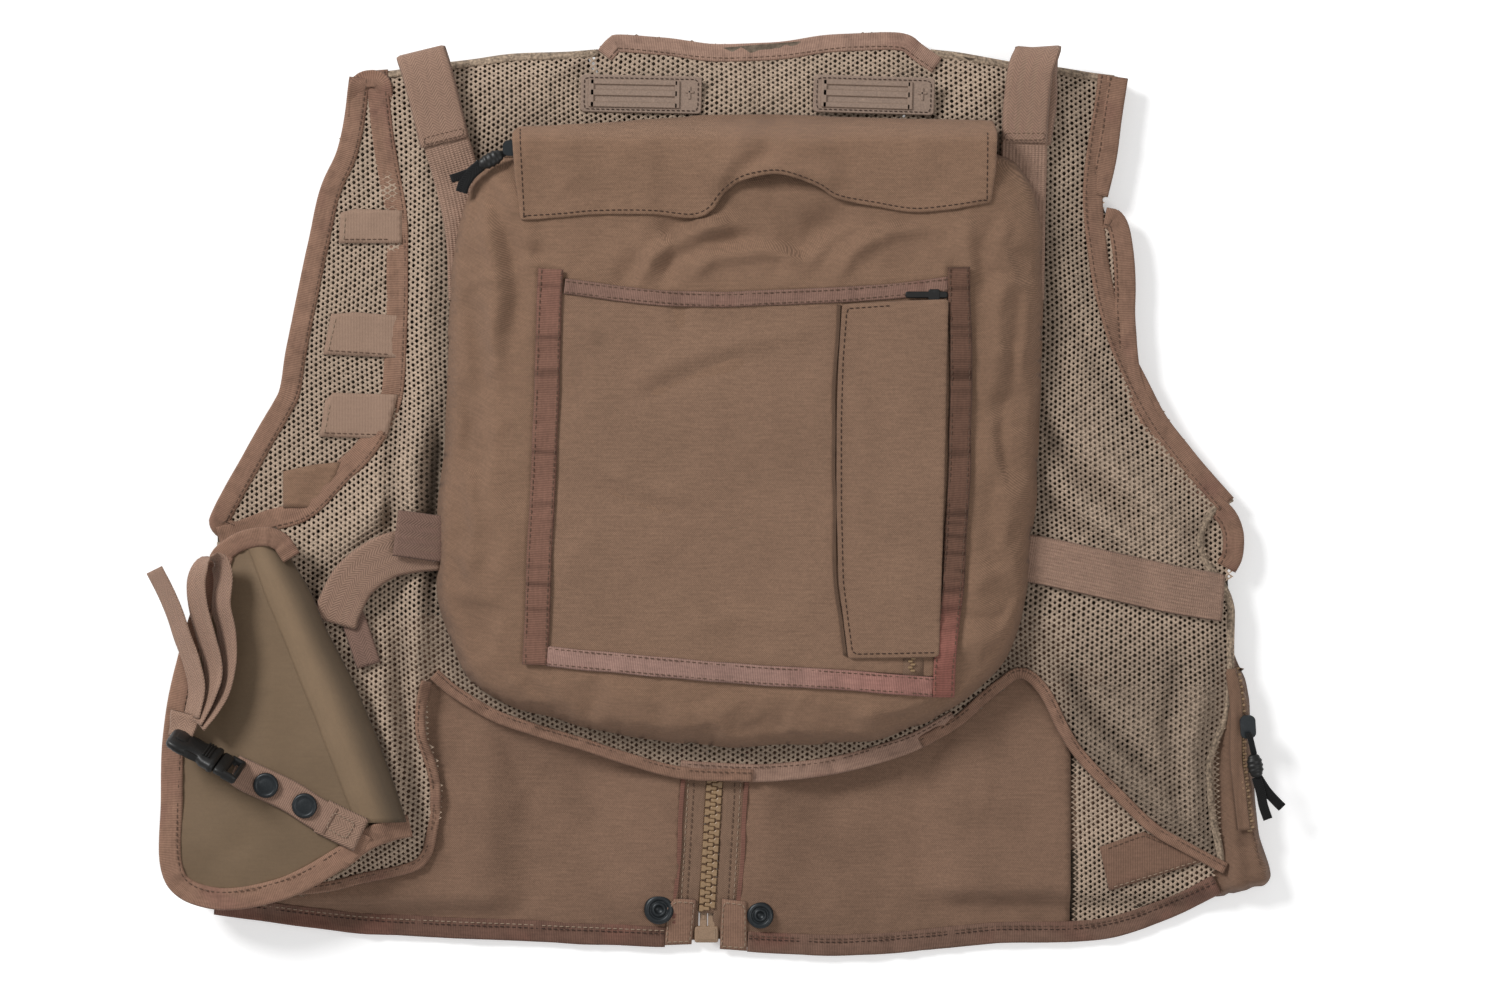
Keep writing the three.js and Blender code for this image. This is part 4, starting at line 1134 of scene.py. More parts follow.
def surface(points, faces):
    """height(x, y) of a finished shape, by looking straight down on it."""
    corners = [Vector(p) for p in np.asarray(points).tolist()]
    tree = BVHTree.FromPolygons(corners, [list(map(int, f)) for f in faces])

    def height(x, y):
        flat = zip(np.ravel(x), np.ravel(y))
        hits = [tree.ray_cast(Vector((a, b, 200)), Vector((0, 0, -1)))[0] for a, b in flat]
        return np.reshape([h.z if h else 24.0 for h in hits], np.shape(x))

    return height


POUCH_BASE = 22.2
SETTLING_FRAMES = 20
POUCH_FOLDS = [  # width, height and path
    (5, -1.7, [(-120, 172), (-114, 150), (-107, 128), (-104, 104), (-107, 78)]),
    (6, 1.6, [(-112, 168), (-104, 146), (-97, 124)]),
    (5, 1.3, [(-124, 152), (-119, 120), (-116, 88), (-119, 50)]),
    (6, -1.2, [(-131, 112), (-126, 72), (-128, 30), (-123, -4)]),
    (8, 1.1, [(-126, 20), (-112, -14), (-110, -50)]),
    (6, -1.5, [(150, 156), (139, 130), (137, 104), (142, 70)]),
    (6, 1.4, [(146, 120), (142, 92), (146, 60)]),
    (4, 1.5, [(149, 148), (141, 130), (140, 116)]),
    (5, -1.2, [(158, 116), (153, 80), (155, 40)]),
    (4, 1.2, [(-111, 164), (-106, 142), (-92, 124)]),
    (6, -1.5, [(-40, 126), (-54, 109)]),
    (8, -2.0, [(-30, 136), (-22, 140), (-12, 146)]),
    (9, -2.4, [(34, 126), (48, 138), (66, 148)]),
    (8, 1.8, [(44, 120), (62, 134), (84, 140)]),
    (8, 1.8, [(-26, 122), (-10, 134), (8, 142)]),
    (4, 2.2, [(-42, 112), (-34, 126), (-18, 138), (8, 143)]),
    (3.5, -2.0, [(-30, 112), (-24, 124), (-6, 133), (20, 136)]),
    (3.5, 1.8, [(-16, 114), (-4, 124), (24, 128), (50, 122)]),
    (3.5, 1.8, [(60, 114), (70, 128), (88, 138), (112, 140)]),
    (3.5, -1.8, [(48, 116), (58, 130), (74, 140)]),
    (4, 1.8, [(-122, 158), (-117, 132), (-112, 104), (-118, 80)]),
    (3.5, -1.8, [(-110, 172), (-108, 150), (-100, 132), (-88, 122)]),
    (4, 1.6, [(128, 146), (127, 128), (131, 112)]),
    (4, 1.6, [(160, 110), (162, 84), (158, 60)]),
    (3.5, -1.6, [(150, 60), (147, 34), (151, 8)]),
    (4, 1.5, [(-132, 20), (-126, -14), (-130, -44)]),
    (3.5, -1.5, [(-137, 64), (-132, 40), (-134, 16)]),
    (3.5, 1.5, [(-112, -88), (-92, -104), (-66, -110)]),
    (3.5, -1.5, [(-104, -92), (-84, -106), (-56, -113)]),
    (3.5, 1.4, [(64, -112), (92, -110), (116, -98)]),
    (5, -1.4, [(2, -118), (18, -121), (38, -118)]),
    (5, -1.3, [(80, -122), (98, -116), (118, -106)]),
    (5, 1.2, [(-70, -112), (-40, -119), (-6, -119)]),
    (8, -1.1, [(-126, -60), (-112, -84), (-92, -102)]),
    (8, 1.0, [(132, -30), (138, -62), (130, -88)]),
    (6, -1.0, [(144, 20), (140, -14), (144, -44)]),
]


def pouch_height(x, y, d):
    """The filled pouch's upper face, at distance d from its edge."""
    top = step(150, 182, y)
    body = 17.2 + 2.4 * step(8, 90, d) - 1.0 * top
    creases = 1.8 * folds(x, y, POUCH_FOLDS) * step(3, 14, d)
    broad = 0.9 * ripple(x, y, 60, 12.0) + 0.5 * ripple(x, y, 18, 14.0)
    broad += 0.9 * (1 - step(10, 34, d)) * ripple(x, y, 11, 15.0)
    loose = 0.2 + 0.8 * np.maximum(1 - step(22, 46, d), step(108, 122, y))
    broad += loose * (1.0 * crinkle(x, y, 38, 19.0) - 0.8 * crinkle(x, y, 30, 23.0))
    return POUCH_BASE + body * pillow(d, 19 - 5 * top) + creases + broad * step(4, 30, d)


def inflate(points, faces, bottom, cap):
    """Lets a bag's cloth settle under a little pressure, with its base held down. No point moves past cap."""
    mesh = bpy.data.meshes.new("settling")
    mesh.from_pydata((np.asarray(points) * 0.001).tolist(), [], [list(map(int, f)) for f in faces])
    obj = bpy.data.objects.new("settling", mesh)
    bpy.context.scene.collection.objects.link(obj)
    held = obj.vertex_groups.new(name="held")
    held.add([i for i, p in enumerate(points) if p[2] < bottom + 1.0], 1.0, "REPLACE")
    settings = obj.modifiers.new("cloth", "CLOTH").settings
    settings.quality = 6
    settings.mass = 0.25
    settings.tension_stiffness = settings.compression_stiffness = 18
    settings.bending_stiffness = 0.6
    settings.use_pressure = True
    settings.uniform_pressure_force = 4.0
    settings.shrink_min = -0.012
    settings.vertex_group_mass = "held"
    settings.effector_weights.gravity = 0
    for number in range(1, SETTLING_FRAMES + 1):
        bpy.context.scene.frame_set(number)
    made = obj.evaluated_get(bpy.context.evaluated_depsgraph_get())
    settled = np.array([v.co[:] for v in made.data.vertices]) * 1000
    bpy.context.scene.frame_set(1)
    bpy.data.objects.remove(obj)
    bpy.data.meshes.remove(mesh)
    move = settled - points
    length = np.linalg.norm(move, axis=1)[:, None]
    return points + move * np.minimum(1, cap / np.maximum(length, 1e-9))


def pouch_body():
    rim = smooth(POUCH, 4.0)
    along = np.arange(len(rim)) * 4.0
    rim = beside(rim, 1.2 * ripple(along, 0 * along, 24, 18.0))
    outline = np.vstack([rim, [(140, 182), (60, 184), (-40, 184), (-108, 181)]])[::-1]
    points, faces = bag(outline, POUCH_BASE, pouch_height, 3.3)
    points = inflate(points, faces, POUCH_BASE, 3.0)
    obj = piece("pouch_body", points, faces, TWILL, uv=points[:, :2] + (0, 1) * points[:, 2:3], subdivide=1,
                replaces=["pouch_front", "pouch_gusset"])
    x, y, z = flat_points(obj)
    # Painted shade: darker in the fold valleys, where the surface lies low at the edges, in a band under the
    # flap's lower edge and along the left side; the ripple adds uneven tone.
    shade = -0.022 * folds(x, y, [(w * 0.6, h, path) for w, h, path in POUCH_FOLDS if h < 0])
    shade += 0.1 * step(30, 24, z) + 0.03 * np.clip(ripple(x, y, 40, 17.0), 0, 1)
    shade += 0.1 * np.exp(-(((y - 150) / 9) ** 2)) * step(-112, -96, x) * step(146, 130, x)
    shade += 0.09 * step(-112, -130, x) * step(-100, -60, y)
    paint_points(obj, stain=np.clip(shade, 0, 0.35))
    return surface(points, faces)


def pocket_panel(top):
    outline = [(-84, 114), (-42, 107), (-5, 105), (25, 105.5), (60, 107), (90, 109.5), (120, 112), (121, -92),
               (58, -88), (-25, -84), (-90, -78)]
    dents = [(6, 1.0, [(-64, 18), (-40, 6), (-12, 0)]), (5, -0.9, [(-66, 11), (-42, -1), (-14, -7)]),
             (6, 1.0, [(-45, 59), (-20, 72), (7, 81), (50, 88)]), (5, -0.9, [(-44, 52), (-16, 64), (20, 74)]),
             (5, 0.8, [(-20, -66), (10, -60), (44, -66)]), (4, -0.9, [(-22, 102), (-20, 94), (-21, 86)])]
    raised = lambda x, y: top(x, y) + 1.0 + 0.35 * ripple(x, y, 30, 40.0) + 1.7 * folds(x, y, dents)
    pocket = cloth("pocket_panel", outline[::-1], raised, POCKET_TWILL, 4.0, 1.0, replaces=["pocket_front"],
                   subdivide=1)
    x, y, _ = flat_points(pocket)
    mark = np.exp(-(((x + 63) / 5) ** 2 + ((y - 83) / 4) ** 2)) * 0.18
    paint_points(pocket, stain=mark + 0.05 * np.clip(ripple(x, y, 45, 42.0), 0, 1))
    flat_sheet(outline)


LEFT_TAPE = [(-86.5, 119), (-88, 90), (-89.5, 40), (-91.5, 0), (-93.5, -40), (-95, -85)]
RIGHT_TAPE = [(123, 120), (124, 80), (124, 40), (122.5, 0), (120, -40), (116, -85), (115.5, -102)]
TOP_TAPE = [(-80, 110), (-42, 105.5), (-5, 103), (25, 104), (60, 105.5), (90, 108), (118, 111)]
BOTTOM_TAPE = [(-89, -80.5), (-25, -86.5), (16, -90), (58, -92.5), (111, -96.5)]


def pocket_tapes(top):
    """Four tapes frame the flat pocket. The upright ones lie over the others and have tighter puckers."""
    tapes = [  # side, path, width, looks, pucker size, and how much it has faded and between where
        ("left", LEFT_TAPE, 13, BROWN_TAPE, 4.5, (0.3, 60, 110)),
        ("right", RIGHT_TAPE, 11.5, DARK_TAPE, 2.6, (0.85, -35, -80)),
        ("top", TOP_TAPE, 8, MAUVE_TAPE, 9.0, (0.0, 10, 100)),
        ("bottom", BOTTOM_TAPE, 10.5, PINK_TAPE, 9.0, (0.8, 10, 100)),
    ]
    for side, path, width, looks, size, (most, start, end) in tapes:
        name = f"pocket_tape_{side}"
        upright = side in ("left", "right")
        level = above(top, 2.3 if upright else 1.7)
        obj = draped_band(name, path, webbing_section(width, 1.0), level, looks, pucker=0.42,
                          slot="binding_tape" if upright else "faded_tape", seed=len(name) * 0.9)
        x, y, _ = flat_points(obj)
        along = y if upright else x
        # Painted shade in the creases of the puckers, fading out towards the upright tapes' lower ends.
        depth = 0.42 * step(-90, -50, y) if upright else 0.14
        puckers = depth * step(0.2, 0.7, ripple(along, 0 * x, size, 50.0 + width))
        paint_points(obj, stain=puckers, fade=most * step(start, end, along))
        for s in (-1, 1):
            sew_on(path, level, offset=s * (width / 2 - 1.3), lift=0.62)


def pouch_zip(top):
    under_flap = lambda x, y: top(x, np.minimum(y, 178))
    strip = cloth("pouch_zip_tape", [(-112, 177.5), (142, 177.5), (142, 186), (-112, 186)],
                  above(under_flap, 0.9),
                  ZIP_TAPE, 4, 1.0, slot="zip_tape", replaces=["pouch_zip"])
    # Darkened evenly as painted shade under the flap.
    paint_points(strip, stain=0.2)
    coil("pouch_zip_coil", [(-110, 181.6), (0, 181.6), (140, 181.6)], above(under_flap, 1.4))


def coil(name, path, level):
    """A closed zip's coil: two rows of small loops."""
    line = resample(path, 1.6)
    along = unit(np.gradient(line, axis=0))
    shape, faces = prism(rounded(-1.9, -0.62, 0.6, 0.62, 0.5, 3),
                         [(0.3, -0.2), (0, 0.1), (0, 0.7), (0.35, 1.0)])
    parts = []
    for k, (point, height, a) in enumerate(zip(line, level(line[:, 0], line[:, 1]), along)):
        angle = math.atan2(a[1], a[0]) + (math.pi / 2 if k % 2 else -math.pi / 2)
        parts.append((turned(shape, angle_z=angle, at=(*point[:2], height)), faces))
    points, faces = merge(parts)
    piece(name, points, faces, TEETH, slot="zip_tape", flat=True)


def pouch_flap(top):
    """The rain flap, which climbs over the zip and is gathered in the middle of its lower edge."""
    lower = smooth([(-103, 144), (-80, 145.5), (-63, 147), (-35, 147), (-14, 145), (-4, 149), (2, 157),
                    (11, 164),
                    (23, 167), (33, 167), (50, 161), (60, 155), (81, 151), (101, 148), (122, 150),
                    (140, 153)],
                   3.0).tolist()
    outline = [(-104, 194), (-107.5, 190), (-106, 170), *lower, (142.5, 170), (143.5, 190), (142, 197.5),
               (100, 198.5), (60, 200), (23, 201), (-10, 200.5), (-40, 198), (-70, 195.5)]

    def height(x, y):
        rest = top(np.clip(x, -100, 136), np.minimum(y, 176)) + 1.6
        shelf = np.maximum(rest, 45.2 - 1.6 * step(176, 144, y))
        climb = step(200, 184, y) ** 0.6
        z = 24.2 + (shelf - 24.2) * climb
        gather = 5.0 * np.exp(-(((x - 26) / 34) ** 2)) * step(196, 166, y) * (1 - 0.35 * step(168, 160, y))
        creases = folds(x, y, [
            (6, 1.7, [(25, 198), (13, 182), (0, 164), (-6, 154)]),
            (6, -1.1, [(34, 196), (24, 180), (14, 170)]),
            (7, 1.3, [(44, 190), (54, 172), (60, 160)]), (7, -0.8, [(-30, 190), (-24, 166), (-22, 152)]),
            (8, 0.9, [(-84, 186), (-76, 160)]), (8, 0.9, [(106, 192), (98, 160)]),
            (4, 1.6, [(8, 158), (22, 170), (44, 168), (66, 158)]),
            (4, -1.2, [(0, 152), (12, 172), (30, 182)]),
            (4, -1.0, [(72, 168), (60, 176), (40, 176)]), (5, 0.8, [(-60, 184), (-20, 176), (0, 166)]),
        ])
        return z + gather + creases + 0.4 * ripple(x, y, 24, 60.0) + 0.6 * crinkle(x, y, 40, 63.0)

    flap = cloth("pouch_flap_cloth", outline, height, TWILL, 3.0, 1.8, body="pouch_flap", subdivide=1,
                 replaces=["pouch_flap"])
    x, y, _ = flat_points(flap)
    # Painted shade along the gather's crease; the flap is also darker along its upper edge and in random
    # patches.
    crease = np.exp(-((nearest(x, y, [(25, 200), (11, 182), (-4, 159)])[0] / 3.5) ** 2))
    darkening = 0.05 * np.clip(ripple(x, y, 30, 61.0), 0, 1)
    paint_points(flap, stain=0.1 * crease + 0.12 * step(193, 199, y) + darkening)
    flat_sheet(outline)
    sewn = [(-105.5, 192), *lower, (140.5, 190)]
    sew_on(sewn, height, offset=2.3, lift=0.12, curve=False, body="pouch_flap", colour="dark")


def placket(top):
    """The flap over the flat pocket's zip, and the zip with its slider."""
    outline = [(63, 101), (61, 72), (60, 41), (60, -1), (61, -42), (64, -65), (66, -82), (90, -81.5),
               (113, -81), (114.5, -40),
               (116, 11), (117, 60), (118, 103.5), (90, 102.5)]

    def height(x, y):
        hug = top(x, y) + 2.9 + 1.7 * step(74, 104, x)
        return hug + 0.35 * ripple(x, y, 30, 71.0) + folds(x, y, [(6, 0.7, [(64, 90), (76, 40), (70, -30)])])

    obj = cloth("placket_cloth", outline, height, POCKET_TWILL, 3.2, 1.5, body="placket", subdivide=1,
                replaces=["placket_flap"])
    x, y, _ = flat_points(obj)
    # Painted shadow along the left edge; the ripple adds uneven tone.
    paint_points(obj, stain=0.16 * step(66, 61, x) + 0.05 * np.clip(ripple(x, y, 30, 72.0), 0, 1))
    flat_sheet(outline)
    sewn = [(88, 100), (65.5, 98.5), (63.5, 72), (62.6, 41), (62.6, -1), (63.6, -42), (66.4, -64),
            (68.5, -79.4), (90, -79),
            (111, -78.6)]
    sew_on(sewn, height, curve=False, body="placket", lift=0.12, colour="dark")
    coil("pocket_zip_coil", [(102.6, 100), (100.6, 0), (98.9, -88)], above(top, 1.4))
    # A thin dark strip beside the left edge, a painted shadow under the placket's edge.
    shadow_path = [(61.4, 100.5), (59.7, 72), (58.9, 41), (58.9, -1), (59.8, -42), (62.6, -64), (64.8, -80)]
    edge_shadow = draped_band("placket_edge_shadow", shadow_path, webbing_section(1.8, 1.2), above(top, 1.5), POCKET_TWILL,
                         body="placket", slot="twill", pucker=0.1)
    paint_points(edge_shadow, stain=0.5)
    level = float(np.max(top(np.array([96.0, 116.0]), np.array([105.0, 105.0]))))
    body = prism(rounded(95.5, 104.0, 117.5, 107.4, 1.5), [(0.3, 1.2), (0, 1.5), (0, 2.4), (0.5, 2.8)])
    grip = prism(rounded(107.5, 102.6, 113.5, 108.6, 1.2), [(0.2, 0.9), (0, 1.3), (0, 2.7), (0.5, 3.1)])
    points, faces = merge([body, grip])
    piece("pocket_zip_pull", points + (0, 0, level), faces, BLACK, body="pocket_slider", slot="black_plastic",
          replaces=["pocket_zip_slider"], flat=True)
    strip = [(94.5, -91), (105, -91), (109, 102), (97, 102)]
    cloth("pocket_zip_tape", strip, above(top, 1.3), ZIP_TAPE, 4, 0.7, slot="zip_tape",
          replaces=["pocket_zip"])


# ---------------------------------------------------------------------------------------------
# Webbing, tabs and loops


ELASTIC = webbing_section(24, 1.5, 9, 0.05, 30)


def shoulder_loops():
    """An elastic strap runs under the pouch on each side and ends in a webbing loop over the shoulder."""
    low = [(-129, 104, 23.6), (-130.5, 137, 23.8), (-135.5, 163, 24.6), (-141.5, 184, 26.0),
           (-143.5, 189, 26.2)]
    tilt = [(1, 0.05, 0), (1, 0.1, 0), (0.98, 0.2, 0), (0.97, 0.26, 0), (0.97, 0.26, 0)]
    strap("shoulder_strap_left", low, tilt, ELASTIC, RIBBED, seed=4.0)
    loop = [(-143, 186, 25.0), (-147, 203, 25.2), (-152, 222, 23.4), (-154.5, 230, 20.6), (-155.5, 233, 22.6),
            (-155, 231, 26.0), (-152, 222, 28.4), (-147, 203, 28.2), (-142.8, 185.5, 27.2)]
    lean = [(0.97, 0.24, 0)] * len(loop)
    strap("shoulder_loop_left", loop, lean, webbing_section(26, 1.5), WEBBING, body="loop_left", seed=5.0)
    box_stitch((-143.2, 188.5), 21, 3.5, 14, 28.2, "loop_left")
    low = [(156.5, 104, 23.6), (157, 140, 23.8), (157.6, 165, 24.6), (158, 184, 26.0), (158, 189, 26.2)]
    strap("shoulder_strap_right", low, [(1, 0, 0)] * len(low), ELASTIC, RIBBED, seed=6.0)
    loop = [(160, 186, 25.0), (163, 205, 25.2), (164, 222, 23.6), (165, 231, 20.8), (165.5, 235, 22.8),
            (164.5, 232, 26.4), (161, 222, 28.8), (158.8, 203, 28.4), (158, 185.5, 27.2)]
    lean = [(1, 0, 0), (1, 0, 0), (0.96, 0, -0.28), (0.93, 0, -0.36), (0.95, 0, -0.3), (0.97, 0.1, 0.1),
            (1, 0, 0.1), (1, 0, 0), (1, 0, 0)]
    strap("shoulder_loop_right", loop, lean, webbing_section(24, 1.5), WEBBING, body="loop_right", seed=7.0)
    box_stitch((158.2, 188.5), 21, 3.5, 0, 28.2, "loop_right")


def box_stitch(centre, width, height, degrees, z, body, colour="brown"):
    """A rectangle of stitches, turned by some degrees."""
    w, h = width / 2, height / 2
    turn = math.radians(degrees)
    spin = np.array([(math.cos(turn), math.sin(turn)), (-math.sin(turn), math.cos(turn))])
    flat = np.array([(-w, -h), (w, -h), (w, h), (-w, h), (-w, -h)]) @ spin + centre
    sew(np.column_stack([flat, np.full(5, z)]), colour, body, pitch=2.4)


def lash_tabs():
    """Moulded tabs: a stitched border round a raised frame with two lacing slots."""
    bar = [(0, 1.2), (0, 2.0), (0.4, 2.5)]
    groove = [(0, 1.3), (0, 1.9), (0.3, 2.1)]
    bars = [(-26.5, 4.6, 19, 7.4), (-26.5, -1.2, 19, 2.2), (-26.5, -7.2, 19, -4.2), (-27.4, -7.2, -24.4, 7.4),
            (17.4, -7.2, 20.2, 7.4)]
    parts = [prism(rounded(-31.5, -9.8, 31.5, 9.8, 2.2), [(0, 0), (0, 1.0), (0.4, 1.5)])]
    parts += [prism(rounded(*corners, 0.7), bar) for corners in bars]
    parts += [prism(rounded(*corners, 0.5), groove) for corners in ((22.5, 1.0, 27.5, 2.4),
                                                                    (24.4, -2.2, 25.8, 4.6))]
    points, faces = merge(parts)
    border = np.column_stack([rounded(-29.6, -8.2, 29.6, 8.2, 1.2), np.full(20, 1.75)])
    for name, x, y, lean in (("left", -41, 211, -0.02), ("right", 80, 210.5, -0.03)):
        at = (x, y, spot(back_height, x, y) + 1.0)
        placed = turned(points, angle_z=lean, at=at)
        piece(f"lash_tab_{name}", placed, faces, RUBBER, slot="moulded_tab", flat=True)
        sew(closed(turned(border, angle_z=lean, at=at)), "dark", pitch=2.6, radius=0.26)


def waist_straps():
    """An elastic strap crosses the net on the right. On the left a webbing tail curls out from under a stub."""
    level = lambda x, y: spot(back_height, x, y) + 1.6
    ribbed = webbing_section(25, 1.4, 9, 0.06, 30)
    right = [(150, -29, 23.0), (167, -31.5, 23.6), (197, -38, level(197, -38) + 0.6),
             (233, -46, level(235, -49) + 0.5), (250, -49, level(250, -50) + 0.4), (262, -51, 17.4)]
    turn = [(0.2, 0.98, 0)] * 4 + [(-0.08, 0.99, 0), (-0.42, 0.91, 0.1)]
    waist = strap("waist_strap_right", right, turn, ribbed, RIBBED, seed=8.0, ripples=0.5)
    x = flat_points(waist)[0]
    paint_points(waist, stain=0.12 * step(0.1, 0.7, ripple(x, 0 * x, 17, 8.5)))
    stub = [(-138, -21, 26.0), (-150, -19.5, 29.6), (-160, -18, 32.4), (-168, -17.0, 33.4)]
    strap("waist_stub_left", stub, [(0, 1, 0)] * 4, webbing_section(24, 1.4, 5, 0.15, 24), WEBBING_DARK,
          seed=9.0)
    tail = [(-146, -25, 25.2), (-158, -26, 27.6), (-174, -30, 30.4), (-189, -41, 31.6), (-197.5, -56, 29.0),
            (-200, -64, 26.6)]
    turn = [(-0.3, 0.95, 0.0), (-0.4, 0.9, 0.1), (-0.55, 0.82, 0.15), (-0.7, 0.7, 0.15), (-0.85, 0.5, 0.1),
            (-0.9, 0.4, 0)]
    strap("waist_strap_left", tail, turn, webbing_section(23.5, 1.5), WEBBING, seed=10.0)
    end = [(-193, -56, 24.6), (-189, -66, 25.0), (-185, -78, 24.6), (-182.5, -86, 24.0)]
    strap("waist_end_left", end, [(0.93, 0.36, 0)] * 4, webbing_section(13, 1.4), WEBBING_DARK, seed=10.5)


# ---------------------------------------------------------------------------------------------
# The padded side flap, folded over, with its buckle

CREST = [(-243, -17), (-238, -29), (-227, -55), (-216, -81), (-203, -112), (-190, -146), (-182, -167)]
FOLD_EDGE = [(-230, -14), (-225, -24), (-212, -49), (-199, -76), (-184, -107), (-171.5, -138), (-162.5, -167)]
LEAF = [*CREST, (-182, -180), (-194, -192), (-209, -199),
        (-226, -206), (-248, -211), (-266, -211), (-280, -206), (-288, -194), (-289.5, -165), (-286, -110),
        (-279, -78),
        (-269, -45), (-262, -26), (-252, -18)]
LEAF_TOP = 35.6
LEAF_LEFT = [(-262, -26), (-269, -45), (-279, -78), (-286, -110), (-289.5, -165), (-288, -194), (-280, -206)]
LEAF_BOTTOM = [(-280, -206), (-248, -211), (-209, -199), (-176, -180), (-169, -168)]
# How much lighter the painted highlight along the fold's crest is.
CREST_HIGHLIGHT = 0.26
ROLL_RADIUS = 7.0  # of the half round where the flap folds over


def leaf_height(x, y):
    """The folded flap's upper side, which droops towards its edges."""
    left = nearest(x, y, LEAF_LEFT)[0]
    bottom = nearest(x, y, LEAF_BOTTOM)[0]
    ridge = nearest(x, y, CREST)[0]
    droop = 4.2 * (1 - step(0, 34, left)) + 3.2 * (1 - step(0, 30, bottom)) + 1.6 * step(0, 16, ridge) - 1.6
    crease = folds(x, y,
                   [(7, -1.1, [(-250, -60), (-262, -120), (-258, -170)]),
                    (9, 1.0, [(-238, -84), (-232, -150)]),
                          (6, -0.8, [(-270, -190), (-240, -176)])])
    return LEAF_TOP - droop + crease + 0.4 * ripple(x, y, 30, 80.0)


def flap_leaf():
    """The padded leaf, with its binding and the binding round its upper end."""
    points, faces = fill(LEAF[::-1], 3.2)
    x, y = points.T
    rim_drop = 1.2 * (1 - step(0, 7, nearest(x, y, LEAF[5:])[0]))
    crest_drop = 1.6 * (1 - step(0.5, 4.5, nearest(x, y, CREST)[0]))
    solid = np.column_stack([points, leaf_height(x, y) - rim_drop - crest_drop])
    leaf = piece("side_flap_leaf", solid, faces, PAD, uv=points, thickness=2.8, body="side_flap",
                 slot="padded_cloth", subdivide=1, replaces=["side_flap"])
    leaf.modifiers["thickness"].use_rim = False
    x, y, _ = flat_points(leaf)
    # A painted highlight along the crest; the ripple darkens random patches.
    crest_wear = CREST_HIGHLIGHT * (1 - step(0, 7, nearest(x, y, CREST)[0]))
    paint_points(leaf, wear=crest_wear, stain=0.06 * np.clip(ripple(x, y, 26, 82.0), 0, 1))
    rim = [(-180, -175), (-186, -185), (-196, -192), (-209, -200), (-226, -207), (-248, -212), (-266, -212),
           (-281, -206), (-289, -193), (-290.5, -165), (-287, -110), (-280, -78), (-270, -45), (-263, -26)]
    level = above(leaf_height, 0.3)
    binding = draped_band("side_flap_binding", rim, band(11.5, 1.3, 3.6), level, BINDING, side=-1,
                          body="side_flap",
                          pucker=0.5, seed=5.5)
    x, y, _ = flat_points(binding)
    fade = 0.3 * step(0.1, 0.7, ripple(x, y, 25, 85.0))
    paint_points(binding, stain=0.15 * step(0.2, 0.8, ripple(x, y, 6, 84.0)), fade=fade, wear=0.12)
    sew_on(rim, level, offset=-9.6, lift=1.45, body="side_flap")
    neck = [(-267, -36), (-263, -26), (-254, -19), (-243, -15), (-232, -14), (-223, -18), (-217, -27)]
    draped_band("side_flap_neck", neck, band(10, 1.6, 3.2), level, BINDING, side=-1, body="side_flap",
                pucker=0.8,
                seed=7.5, along_step=1.6)


def flap_fold():
    """The fold itself: a half round from the leaf down to the base, which laps over the leaf a little."""
    line, edge = resample(CREST, 3.0), resample(FOLD_EDGE, 3.0)
    even, uneven = np.linspace(0, 1, len(line)), np.linspace(0, 1, len(edge))
    reach = np.column_stack([np.interp(even, uneven, edge[:, k]) for k in (0, 1)]) - line
    width = np.linalg.norm(reach, axis=1)
    side = reach / width[:, None]
    angles = np.radians(np.r_[[101, 98, 96, 94, 92], np.linspace(88, -104, 27)])
    outward, upward = np.cos(angles), np.sin(angles)
    over = (angles > math.pi / 2)[None, :]
    lengths = lengths_along(line)
    swell = 1 + 0.05 * ripple(lengths, 0 * lengths, 24, 88.0)
    centre_z = leaf_height(line[:, 0], line[:, 1]) - ROLL_RADIUS
    skins = []
    for inset in (0.0, 2.4):
        stretch = np.where(outward > 0, 1.0, np.where(over, 1.7, 0.4))
        reach = outward * stretch * (width * swell - inset)[:, None]
        flat = line[:, None] + side[:, None] * reach[..., None]
        z = centre_z[:, None] + upward * (ROLL_RADIUS - inset)
        z = np.where(over, leaf_height(flat[..., 0], flat[..., 1]) + 0.1 - inset, z)
        skins.append(np.dstack([flat, z]))
    points = np.concatenate([skins[0], skins[1][:, ::-1]], axis=1)
    around = points.shape[1]
    faces = tube_faces(len(line), around)
    uv = tube_uv(lengths, np.linspace(0, 80, around + 1), faces, around)
    roll = piece("side_flap_fold", points.reshape(-1, 3), faces, PAD, uv=uv, slot="padded_cloth", ride=False)
    turn = np.tile(np.r_[angles, angles[::-1]], len(line))
    lap = [0.29, 0.54, 0.71, 0.85, 0.96]
    inward = np.tile(np.r_[lap, np.ones(around - 10), lap[::-1]], len(line))
    # A painted highlight over the top of the roll, and painted shade on its outer slope.
    paint_points(roll, wear=CREST_HIGHLIGHT * inward * step(math.radians(60), math.radians(82), turn),
                 stain=0.5 * step(math.radians(76), math.radians(38), turn))
    x, y, _ = metres((-201.0, -97.5, 0.0))
    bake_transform(roll)
    end = [(-198, -187), (-189, -180), (-180, -174.5), (-171, -171), (-161, -168.5)]
    heel = draped_band("side_flap_heel", end, webbing_section(12, 2.6),
                       lambda x, y: 33.0 - 6.5 * step(-182, -160, x), BINDING, pucker=0.9, along_step=1.6,
                       body="side_flap")
    paint_points(heel, stain=0.2 * step(0, 0.7, ripple(*flat_points(heel)[:2], 5, 91.0)))


